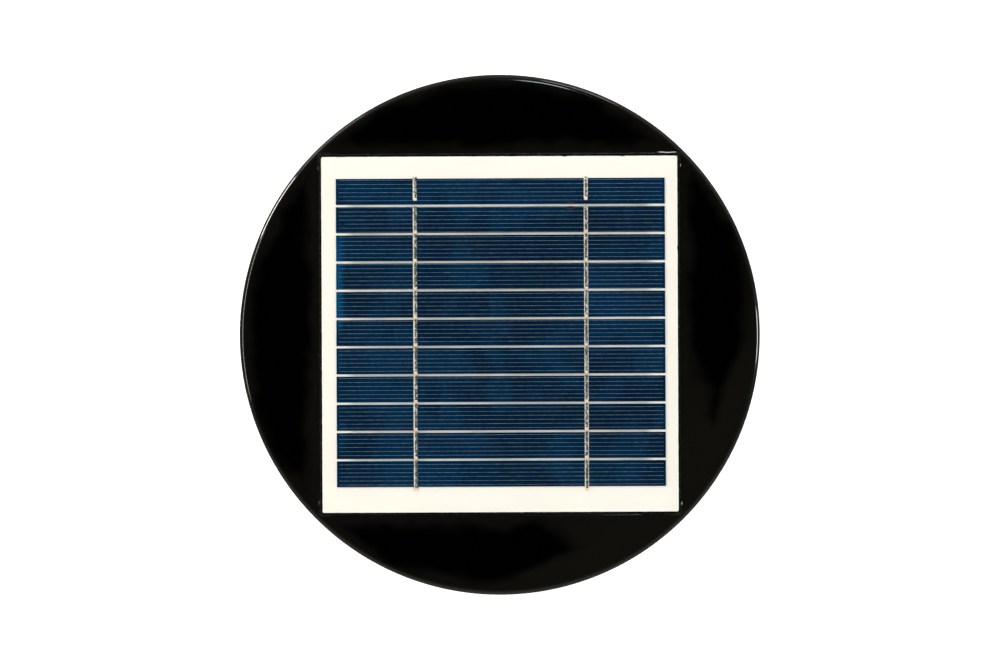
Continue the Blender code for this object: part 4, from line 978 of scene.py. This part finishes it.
def build_base_supports():
    """Posts that carry the cap, gussets, lugs for the guard and eyes for the cable."""
    into_flange = FLANGE_TOP - OVERLAP
    foot = 3.0 * MM
    post = radial_plate([
        (POST_INNER - foot, into_flange),
        (POST_OUTER + foot, into_flange),
        (POST_OUTER, FLANGE_TOP + foot),
        (POST_OUTER, POST_TOP),
        (POST_INNER, POST_TOP),
        (POST_INNER, FLANGE_TOP + foot),
    ], POST_WIDTH)
    pilot = cross_rod(2.0 * MM, POST_OUTER - 8.5 * MM, POST_OUTER + 5 * MM, CAP_SCREW_HEIGHT)
    add_piece("base_posts", around(post, POST_ANGLES), SATIN, bevel=0.6 * MM, cuts=around(pilot, POST_ANGLES))
    gusset_end = 89.0 * MM
    gusset_top = FLANGE_TOP + 16 * MM
    into_collar = COLLAR_RADIUS - OVERLAP
    gusset = radial_plate([
        (into_collar, into_flange),
        (gusset_end, into_flange),
        (gusset_end, FLANGE_TOP + 1 * MM),
        (COLLAR_RADIUS + 1 * MM, gusset_top),
        (into_collar, gusset_top),
    ], 2 * MM)
    add_piece("base_gussets", around(gusset, GUSSET_ANGLES), SATIN, bevel=0.3 * MM)
    into_throat = COLLAR_INNER + OVERLAP
    lug_face = LUG_RADIUS - 4 * MM
    lug = radial_plate([
        (lug_face, POD_BOTTOM),
        (into_throat, POD_BOTTOM),
        (into_throat, 24 * MM),
        (lug_face, 19 * MM),
    ], 9 * MM)
    lug_hole = shifted(rod(SCREW_HOLE, POD_BOTTOM - 5 * MM, 17 * MM), x=LUG_RADIUS)
    add_piece("base_lugs", around(lug, LUG_ANGLES), SATIN, bevel=0.4 * MM, cuts=around(lug_hole, LUG_ANGLES))
    eye = box((70.25 * MM, -3.5 * MM, 0), (into_throat, 3.5 * MM, 4 * MM))
    eye_hole = shifted(rod(CABLE_HOLE, -5 * MM, 9 * MM), x=CABLE_DROP)
    heights = (30 * MM, 69 * MM)
    eyes, holes = (together([shifted(shape, z=height) for height in heights]) for shape in (eye, eye_hole))
    add_piece("base_cable_eyes", eyes, SATIN, bevel=0.3 * MM, cuts=holes)


def build_gasket():
    low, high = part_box("roof_gasket")
    hole = shifted(rod(2.9 * MM, low.z - 5 * MM, high.z + 5 * MM), x=ROOF_HOLE_CIRCLE)
    ring = rounded_tube(COLLAR_RADIUS + 1.5 * MM, high.x, low.z, high.z, 0.5 * MM)
    add_piece("flange_gasket", ring, FOAM, ["roof_gasket"], cuts=around(hole, GUSSET_ANGLES))


def ring_sector(inner, outer, bottom, top, sweep_degrees, steps):
    loops = []
    for step in range(steps + 1):
        angle = math.radians(sweep_degrees * step / steps)
        corners = ((inner, bottom), (outer, bottom), (outer, top), (inner, top))
        loops.append([(radius * math.cos(angle), radius * math.sin(angle), z) for radius, z in corners])
    return lofted(loops)


def build_cage():
    low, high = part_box("screen_cage")
    hoop = 3.5 * MM
    middle_hoop = 1.8 * MM
    row_pitch = (high.z - low.z - hoop) / 3
    hoops = [(low.z, low.z + hoop), (high.z - hoop, high.z)]
    for row in (1, 2):
        middle = low.z + hoop / 2 + row * row_pitch
        hoops.append((middle - middle_hoop / 2, middle + middle_hoop / 2))
    rings = [rounded_tube(CAGE_INNER, CAGE_OUTER, bottom, top, 0.4 * MM) for bottom, top in hoops]
    add_piece("screen_hoops", together(rings), DARK, ["screen_cage"])
    window = 360 / CAGE_WINDOWS
    inset = 0.2 * MM
    bar = ring_sector(CAGE_INNER + inset, CAGE_OUTER - inset, low.z + inset, high.z - inset, 0.22 * window, 5)
    bars = around(bar, [window * step for step in range(CAGE_WINDOWS)])
    add_piece("screen_bars", bars, DARK, bevel=0.3 * MM)


def build_mesh():
    """Woven wire: upright wires and hoops that pass in front of and behind one another."""
    low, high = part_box("insect_mesh")
    middle = high.x - 0.2 * MM
    pitch = 2.0 * MM
    uprights = 2 * round(math.pi * middle / pitch)
    rows = round((high.z - low.z) / pitch)
    row_pitch = (high.z - low.z) / rows
    wave = 0.09 * MM
    thick = 0.11 * MM
    turn = 2 * math.pi / uprights

    def section(angle, radius, height, upright):
        """Four corners round a wire that runs upright or along the hoop."""
        corners = []
        for out, side in ((thick, 0), (0, thick), (-thick, 0), (0, -thick)):
            corner_angle = angle + side / middle if upright else angle
            corner_height = height if upright else height + side
            x = (radius + out) * math.cos(corner_angle)
            y = (radius + out) * math.sin(corner_angle)
            corners.append((x, y, corner_height))
        return corners

    wires = []
    for upright in range(uprights):
        loops = []
        for step in range(rows + 1):
            side = 1 if (upright + step) % 2 else -1
            height = low.z + thick + (high.z - low.z - 2 * thick) * step / rows
            loops.append(section(turn * upright, middle + side * wave, height, True))
        wires.append(lofted(loops))
    add_piece("mesh_uprights", together(wires), CLOTH, ["insect_mesh"])
    hoops = []
    for row in range(rows):
        height = low.z + row_pitch * (row + 0.5)
        loops = []
        for step in range(2 * uprights):
            side = math.cos(math.pi * step / 2) * (1 if row % 2 else -1)
            loops.append(section(turn * step / 2, middle + side * wave, height, False))
        hoops.append(lofted(loops, closed=True))
    add_piece("mesh_hoops", together(hoops), CLOTH)


# ---- screws ----

def screw_shape(head_radius, head_height, shank_radius, length):
    """Pan-head screw along Z: domed head above zero, threaded shank below."""
    pitch = 0.9 * MM
    core = 0.80 * shank_radius
    profile = [(0.3 * core, -length), (core, -length + shank_radius)]
    height = -length + 1.5 * shank_radius
    while height < -pitch:
        profile += [(shank_radius, height), (core, height + pitch / 2)]
        height += pitch
    profile += [(core, 0.0), (head_radius, 0.0), (head_radius, 0.3 * head_height)]
    for step in range(1, 7):
        angle = math.radians(13 * step)
        dome = 0.3 + 0.7 * math.sin(angle)
        profile.append((head_radius * math.cos(angle), dome * head_height))
    return turned(profile, 40, closed=False)


def cross_outline(reach, width):
    arm = ((reach, -width), (reach, width), (width, width))
    outline = []
    for turn in range(4):
        quarter = Matrix.Rotation(math.radians(90 * turn), 2)
        outline += [tuple(quarter @ Vector(point)) for point in arm]
    return outline


def cross_recess(size, top, depth):
    """Cutter for a cross recess: a tapered cross."""
    narrow = cross_outline(size * 0.55, size * 0.13)
    wide = cross_outline(size * 1.05, size * 0.21)
    return layered(((narrow, top - depth), (wide, top + 0.2 * MM)))


def add_screw(node, size, place):
    """A screw of a size given as its head's radius and height, its shank's radius and its length."""
    head_radius, head_height = size[:2]
    screw = moved(screw_shape(*size), place)
    recess = moved(cross_recess(head_radius * 0.55, head_height, head_height * 0.75), place)
    add_piece(node.replace("screw", "fixing"), screw, STAINLESS, [node], cuts=recess)


def build_screws():
    cap_size = (3.7 * MM, 2.6 * MM, 1.7 * MM, 15 * MM)
    guard_size = (2.9 * MM, 2.0 * MM, 1.4 * MM, 8 * MM)
    motor_size = (2.1 * MM, 1.6 * MM, 1.1 * MM, 5.8 * MM)
    upwards = Matrix.Rotation(math.pi, 4, "X")
    outwards = Matrix.Rotation(math.radians(90), 4, "Y")
    under_guard = GUARD_BOTTOM - GAP
    for number, degrees in enumerate(POST_ANGLES, start=1):
        turn = Matrix.Rotation(math.radians(degrees), 4, "Z")
        place = turn @ Matrix.Translation((CAP_SCREW_FLOOR + GAP, 0, CAP_SCREW_HEIGHT)) @ outwards
        add_screw(f"cap_screw_{number}", cap_size, place)
    for number, degrees in enumerate(LUG_ANGLES, start=1):
        turn = Matrix.Rotation(math.radians(degrees), 4, "Z")
        place = turn @ Matrix.Translation((LUG_RADIUS, 0, under_guard)) @ upwards
        add_screw(f"guard_screw_{number}", guard_size, place)
    for number, side in enumerate((1, -1), start=1):
        place = Matrix.Translation((0, side * POD_SCREW_OFFSET, under_guard)) @ upwards
        add_screw(f"pod_screw_{number}", guard_size, place)
        place = Matrix.Translation((side * MOTOR_SCREW_OFFSET, 0, POD_TOP + GAP))
        add_screw(f"motor_screw_{number}", motor_size, place)


# ---- guard, switch and pod ----

def build_guard():
    half = 0.9 * MM
    edges = [(radius - half, radius + half) for radius in GUARD_RINGS]
    edges.append((GUARD_OUTER - 2.6 * MM, GUARD_OUTER))
    rings = [rounded_tube(inner, outer, GUARD_BOTTOM, GUARD_TOP, 0.6 * MM, 216) for inner, outer in edges]
    add_piece("guard_rings", together(rings), SATIN, ["inlet_guard"])
    screw_hole = rod(SCREW_HOLE, *THROUGH)
    holes = together([
        around(shifted(screw_hole, x=LUG_RADIUS), LUG_ANGLES),
        around(shifted(screw_hole, y=POD_SCREW_OFFSET), (0, 180)),
        prism(rounded_rectangle(8.7 * MM, 5.5 * MM, 1.3 * MM), *THROUGH),
    ])
    plate = rod(22 * MM, GUARD_BOTTOM, GUARD_TOP, 144)
    add_piece("guard_plate", plate, SATIN, bevel=0.5 * MM, cuts=holes)
    inset = 0.4 * MM
    low = GUARD_BOTTOM + inset
    high = GUARD_TOP - inset
    arm_start = 19 * MM
    arm_end = GUARD_OUTER - 1.2 * MM
    arm = radial_plate([(arm_start, low), (arm_end, low), (arm_end, high), (arm_start, high)], 3.2 * MM)
    add_piece("guard_arms", around(arm, range(0, 360, 60)), SATIN, bevel=0.5 * MM, cuts=holes)
    ear = shifted(rod(4.2 * MM, GUARD_BOTTOM + inset / 2, GUARD_TOP - inset / 2, 64), x=LUG_RADIUS)
    add_piece("guard_ears", around(ear, LUG_ANGLES), SATIN, bevel=0.4 * MM, cuts=holes)


def build_switch():
    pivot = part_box("rocker_pin")[0].lerp(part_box("rocker_pin")[1], 0.5)
    reach = 6.6 * MM
    half_width = 3.5 * MM
    bezel = rounded_rectangle(9.8 * MM, 6.4 * MM, 1.4 * MM)
    bezel_edge = rounded_rectangle(9.3 * MM, 5.9 * MM, 1.0 * MM)
    well = rounded_rectangle(reach + 0.4 * MM, half_width + GAP, 0.4 * MM)
    well_edge = rounded_rectangle(reach + 0.7 * MM, half_width + 0.6 * MM, 0.6 * MM)
    body = rounded_rectangle(8.4 * MM, 5.2 * MM, 1.0 * MM)
    bezel_bottom = 6.2 * MM
    well_floor = 12 * MM
    body_top = 20 * MM
    under_guard = GUARD_BOTTOM - GAP
    housing = layered((
        (well, well_floor),
        (well, bezel_bottom + 0.3 * MM),
        (well_edge, bezel_bottom),
        (bezel_edge, bezel_bottom),
        (bezel, bezel_bottom + 0.5 * MM),
        (bezel, under_guard),
        (body, under_guard),
        (body, body_top),
    ))
    along_y = Matrix.Rotation(math.radians(90), 4, "X")
    hole = moved(moved(rod(0.9 * MM, -5 * MM, 5 * MM), along_y), Matrix.Translation(pivot))
    add_piece("switch_case", housing, DARK, ["switch_body"], cuts=hole)
    rest_tilt = math.radians(11)
    dip = 3.95 * MM
    crest = 1.5 * MM
    outline = [
        *arc((0, 0), reach, 0, -50, 10),
        (2.0 * MM, -dip),
        (0, -3.6 * MM),
        (-2.0 * MM, -dip),
        *arc((0, 0), reach, -130, -180, 10),
        (-5.0 * MM, crest),
        (5.0 * MM, crest),
    ]
    tilt = Matrix.Translation(pivot) @ Matrix.Rotation(rest_tilt, 4, "Y")
    button = moved(radial_plate(outline, 2 * half_width), tilt)
    add_piece("rocker_button", button, DARK, ["switch_rocker"], body="rocker", bevel=0.35 * MM, cuts=hole)


def build_pod():
    inner = 17.5 * MM
    outer = 19.5 * MM
    bearing_hole = 5.6 * MM
    roof = POD_TOP - 2 * MM
    profile = [
        (inner, POD_BOTTOM),
        (outer, POD_BOTTOM),
        (outer, POD_TOP),
        (bearing_hole, POD_TOP),
        (bearing_hole, roof),
        (inner, roof),
    ]
    screw_hole = shifted(rod(1.4 * MM, POD_TOP - 4 * MM, POD_TOP + 4 * MM), x=MOTOR_SCREW_OFFSET)
    cable_hole = cross_rod(3.0 * MM, inner - 3 * MM, outer + 3 * MM, CABLE_LOW)
    cuts = together([around(screw_hole, (0, 180)), cable_hole])
    add_piece("pod_shell", turned(softened(profile, 0.8 * MM), 144), SATIN, ["motor_pod"], cuts=cuts)
    boss = box((-2.8 * MM, 10.6 * MM, POD_BOTTOM), (2.8 * MM, inner + 0.8 * MM, 19 * MM))
    pilot = shifted(rod(SCREW_HOLE, POD_BOTTOM - 4 * MM, 17.8 * MM), y=POD_SCREW_OFFSET)
    add_piece("pod_bosses", around(boss, (0, 180)), SATIN, bevel=0.3 * MM, cuts=around(pilot, (0, 180)))
    build_grommet(inner - 0.6 * MM, outer + GAP)


def build_grommet(inner_face, outer_face):
    """The rubber grommet round the cable, with a flange on each face of the pod's wall."""
    bore = 1.6 * MM
    flange = 4.0 * MM
    thickness = 1.4 * MM
    neck = 2.7 * MM
    profile = [
        (bore, inner_face - thickness),
        (flange, inner_face - thickness),
        (flange, inner_face),
        (neck, inner_face),
        (neck, outer_face),
        (flange, outer_face),
        (flange - 0.6 * MM, outer_face + thickness),
        (bore, outer_face + thickness),
    ]
    shape = shifted(along_x(turned(softened(profile, 0.4 * MM), 48)), z=CABLE_LOW)
    add_piece("rubber_grommet", shape, RUBBER, ["cable_grommet"])


# ---- fan wheel ----

def blade_shape():
    """One blade: a cambered skin that sweeps round the axis, its leading edge low."""
    root = HUB_RADIUS - 1.5 * MM
    stations = 14
    chord_steps = 16
    upper = []
    lower = []
    for station in range(stations + 1):
        share = station / stations
        radius = root + (BLADE_TIP - root) * share
        span = math.radians(50 + 4 * share)
        sweep_back = math.radians(8) * share
        rise = (19 - 3 * share) * MM
        camber = (1.2 + 1.6 * share) * MM
        for step in range(chord_steps + 1):
            along = step / chord_steps - 0.5
            angle = sweep_back + span * along
            height = BLADE_MIDDLE - rise * along - camber * (1 - 4 * along * along)
            half = 0.9 * MM * (1 - 2.2 * along * along)
            x = radius * math.cos(angle)
            y = radius * math.sin(angle)
            upper.append((x, y, height + half))
            lower.append((x, y, height - half))
    row = chord_steps + 1
    below = len(upper)
    faces = []
    for station in range(stations):
        for step in range(chord_steps):
            a = station * row + step
            b = a + row
            faces.append((a, a + 1, b + 1, b))
            faces.append((below + a, below + b, below + b + 1, below + a + 1))
        for step in (0, chord_steps):
            a = station * row + step
            faces.append((a, a + row, below + a + row, below + a))
    for station in (0, stations):
        for step in range(chord_steps):
            a = station * row + step
            faces.append((a, a + 1, below + a + 1, below + a))
    return upper + lower, faces


def build_fan_wheel():
    bore = 1.8 * MM
    boss = 5 * MM
    boss_bottom = 62.6 * MM
    inside = HUB_RADIUS - 3 * MM
    under_top = HUB_TOP - 3 * MM
    profile = [
        (bore, boss_bottom),
        (boss, boss_bottom),
        (boss, under_top),
        (inside, under_top),
        (inside, HUB_BOTTOM),
        (HUB_RADIUS, HUB_BOTTOM),
        (HUB_RADIUS, HUB_TOP, 2.8 * MM),
        (bore, HUB_TOP),
    ]
    hub = turned(softened(profile, 0.5 * MM), 180)
    add_piece("wheel_hub", hub, DARK, ["fan_wheel"], body="fan_rotor")
    blades = around(blade_shape(), range(0, 360, 72))
    add_piece("wheel_blades", blades, DARK, body="fan_rotor", bevel=0.3 * MM)
    clip = [
        (bore, HUB_TOP + GAP),
        (5.5 * MM, HUB_TOP + GAP),
        (4.8 * MM, HUB_TOP + 1.0 * MM),
        (bore, HUB_TOP + 1.6 * MM),
    ]
    add_piece("push_on_clip", turned(softened(clip, 0.2 * MM), 64), ZINC, ["hub_clip"], body="fan_rotor")
    low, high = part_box("rotor_shaft")
    chamfer = 0.4 * MM
    radius = 1.5 * MM
    shaft = [
        (radius - chamfer, low.z),
        (radius, low.z + chamfer),
        (radius, high.z - chamfer),
        (radius - chamfer, high.z),
    ]
    add_piece("steel_shaft", turned(shaft, 48, closed=False), STAINLESS, ["rotor_shaft"], body="fan_rotor")


# ---- junction box and wiring ----

def build_junction_box():
    low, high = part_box("junction_box")
    outer = 18 * MM
    wall = 1.5 * MM
    profile = [(outer - wall, low.z + wall), (outer - wall, high.z), (outer, high.z), (outer, low.z)]
    exit_hole = cross_rod(CABLE_HOLE, outer - 3 * wall, outer + wall, CABLE_HIGH)
    add_piece("wiring_box", turned(profile, 144, closed=False), DARK, ["junction_box"], bevel=0.5 * MM,
              cuts=exit_hole)


def smooth_route(route, steps):
    """Points on a smooth curve through a route, in metres from one in millimetres."""
    knots = [Vector(point) * MM for point in route]
    ends = [2 * knots[0] - knots[1], *knots, 2 * knots[-1] - knots[-2]]
    points = []
    for before, start, end, after in zip(ends, ends[1:], ends[2:], ends[3:]):
        for step in range(steps):
            t = step / steps
            bend = 2 * before - 5 * start + 4 * end - after
            twist = 3 * start - before - 3 * end + after
            points.append(start + 0.5 * t * (end - before + t * (bend + t * twist)))
    points.append(knots[-1])
    return points


def sweep(points, radius, sides):
    """A round tube along points, with the same twist all along."""
    across = (points[1] - points[0]).orthogonal().normalized()
    loops = []
    for index, point in enumerate(points):
        ahead = points[min(index + 1, len(points) - 1)] - points[max(index - 1, 0)]
        ahead.normalize()
        across = (across - ahead * across.dot(ahead)).normalized()
        other = ahead.cross(across)
        loop = []
        for side in range(sides):
            angle = 2 * math.pi * side / sides
            loop.append(tuple(point + radius * (math.cos(angle) * across + math.sin(angle) * other)))
        loops.append(loop)
    return lofted(loops)


def build_cable():
    """The cable from the junction box, out to the collar's wall, down it and in to the pod."""
    drop, high, low = CABLE_DROP / MM, CABLE_HIGH / MM, CABLE_LOW / MM
    along_cap = [(12.0, high), (28.0, high), (45.5, high), (58.0, high - 0.2), (67.0, 89.0), (72.0, 82.0)]
    down_wall = [(drop, height) for height in (74.0, 62.0, 48.0, 36.0, 27.0)]
    along_guard = [(71.0, 19.0), (65.0, 14.2), (55.0, 12.9), (42.0, 12.9), (31.0, 13.6)]
    into_pod = [(24.0, low), (19.0, low), (13.6, low)]
    route = [(x, 0, z) for x, z in along_cap + down_wall + along_guard + into_pod]
    add_piece("jacketed_cable", sweep(smooth_route(route, 8), 1.3 * MM, 20), JACKET, ["panel_cable"])


def build_leads():
    """Three short wires in the pod, between the cable's end, the switch and the motor."""
    end, low = 12.7, CABLE_LOW / MM
    terminal = 22.5
    leads = (
        ("panel_to_switch", RED_WIRE,
         [(end, 0.8, low), (11.0, 1.4, 17.5), (8.6, 1.0, 21.6), (5.2, 0, terminal)]),
        ("switch_to_motor", RED_WIRE,
         [(-5.2, 0, terminal), (-8.4, 3.0, 22.0), (-6.5, 8.0, 21.8), (-2.4, 9.9, terminal)]),
        ("panel_to_motor", BLACK_WIRE,
         [(end, -0.8, low), (11.6, -4.5, 17.4), (8.0, -8.6, 21.0), (2.4, -9.9, terminal)]),
    )
    for name, material, route in leads:
        add_piece(f"lead_{name}", sweep(smooth_route(route, 12), 0.6 * MM, 16), material, [f"wire_{name}"])


def finish_hidden_nodes():
    """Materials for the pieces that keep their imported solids."""
    kept = {
        "motor_can": ZINC,
        "motor_end_bell": DARK,
        "motor_boot": RUBBER,
        "motor_magnet": FERRITE,
        "motor_brush_1": BRASS,
        "motor_brush_2": BRASS,
        "front_bearing": BRONZE,
        "rear_bearing": BRONZE,
        "armature_core": ZINC,
        "armature_winding": COPPER,
        "commutator": COPPER,
        "rocker_pin": ZINC,
        "blocking_diode": EPOXY,
    }
    for node, material in kept.items():
        mesh = NODES[node].data
        mesh.materials.clear()
        mesh.materials.append(material)


# ---- studio ----

def add_softbox(name, azimuth, elevation, width, height, radiance, colour):
    """A softbox aimed at the cap, azimuth in degrees from +X and elevation above the horizon."""
    light = bpy.data.lights.new(name, "AREA")
    light.shape = "RECTANGLE"
    light.size = width
    light.size_y = height
    light.energy = STUDIO_LEVEL * radiance * math.pi * width * height
    light.color = colour
    lamp = bpy.data.objects.new(name, light)
    flat = SOFTBOX_DISTANCE * math.cos(math.radians(elevation))
    rise = SOFTBOX_DISTANCE * math.sin(math.radians(elevation))
    turn = math.radians(azimuth)
    lamp.location = (flat * math.cos(turn), flat * math.sin(turn), rise)
    aim = Vector((0, 0, CAP_TOP)) - lamp.location
    lamp.rotation_euler = aim.to_track_quat("-Z", "Y").to_euler()
    lamp.visible_camera = False
    lamp.visible_transmission = False
    bpy.context.scene.collection.objects.link(lamp)
    return lamp


def build_floor():
    mesh = bpy.data.meshes.new("studio_floor")
    corners = [(x, y, -FLOOR_DROP) for x, y in rectangle(FLOOR_HALF, FLOOR_HALF)]
    mesh.from_pydata(corners, [], [(0, 1, 2, 3)])
    mesh.materials.append(floor_white())
    floor = bpy.data.objects.new("studio_floor", mesh)
    floor.visible_glossy = False
    bpy.context.scene.collection.objects.link(floor)


def build_world():
    """Even fill light. In reflections the room is dark overhead and grey towards the horizon."""
    world = bpy.data.worlds.new("studio")
    world.use_nodes = True
    bpy.context.scene.world = world
    w = Nodes(world.node_tree, "Generated")
    upwards = w.along("Z")
    sideways = w.distance(w.along("Y"))
    level = MIRRORED_LEVEL
    for direction, limits in ((upwards, MIRRORED_OVERHEAD), (upwards, MIRRORED_UNDERFOOT),
                              (sideways, MIRRORED_TO_EACH_END)):
        level = w.math("MULTIPLY", w.spread(direction, *limits), level)
    mirrored = w.math("MULTIPLY", w.node("ShaderNodeLightPath", "Is Glossy Ray"),
                      w.node("ShaderNodeLightPath", "Is Reflection Ray"))
    lit = w.node("ShaderNodeMix", Factor=mirrored, A=FILL_LEVEL, B=level)
    shown = w.node("ShaderNodeMix", Factor=w.node("ShaderNodeLightPath", "Is Camera Ray"), A=lit, B=1.0)
    background = w.tree.nodes["Background"]
    w.feed(background.inputs["Color"], w.mixed(mirrored, NEUTRAL, MIRRORED_COLOUR))
    w.feed(background.inputs["Strength"], shown)


def build_studio():
    bpy.context.scene.view_settings.view_transform = "Standard"
    build_floor()
    build_world()
    for name, azimuth in KEY_LIGHTS.items():
        key = add_softbox(name, azimuth, *KEY_SETTINGS)
        key.visible_glossy = False
    for settings in EDGE_LIGHTS:
        add_softbox(*settings)


def build_camera():
    """Straight above the cap, looking down on it."""
    camera = bpy.data.cameras.new("camera")
    camera.sensor_width = SENSOR_WIDTH
    camera.lens = SENSOR_WIDTH * (CAMERA_DISTANCE + CAP_EDGE[1]) / VIEW_WIDTH
    camera.clip_end = 50
    view = bpy.data.objects.new("camera", camera)
    view.location = (*CAMERA_PLACE, CAP_TOP + CAMERA_DISTANCE)
    bpy.context.scene.collection.objects.link(view)
    bpy.context.scene.camera = view


build_camera()
build_studio()
build_cap()
build_cap_ribs()
build_laminate()
build_cover()
build_cells()
build_ribbon("left", -1)
build_ribbon("right", 1)
build_marks()
build_bead()
build_junction_box()
build_base_ring()
build_base_supports()
build_gasket()
build_cage()
build_mesh()
build_guard()
build_switch()
build_pod()
build_screws()
build_fan_wheel()
build_cable()
build_leads()
finish_hidden_nodes()
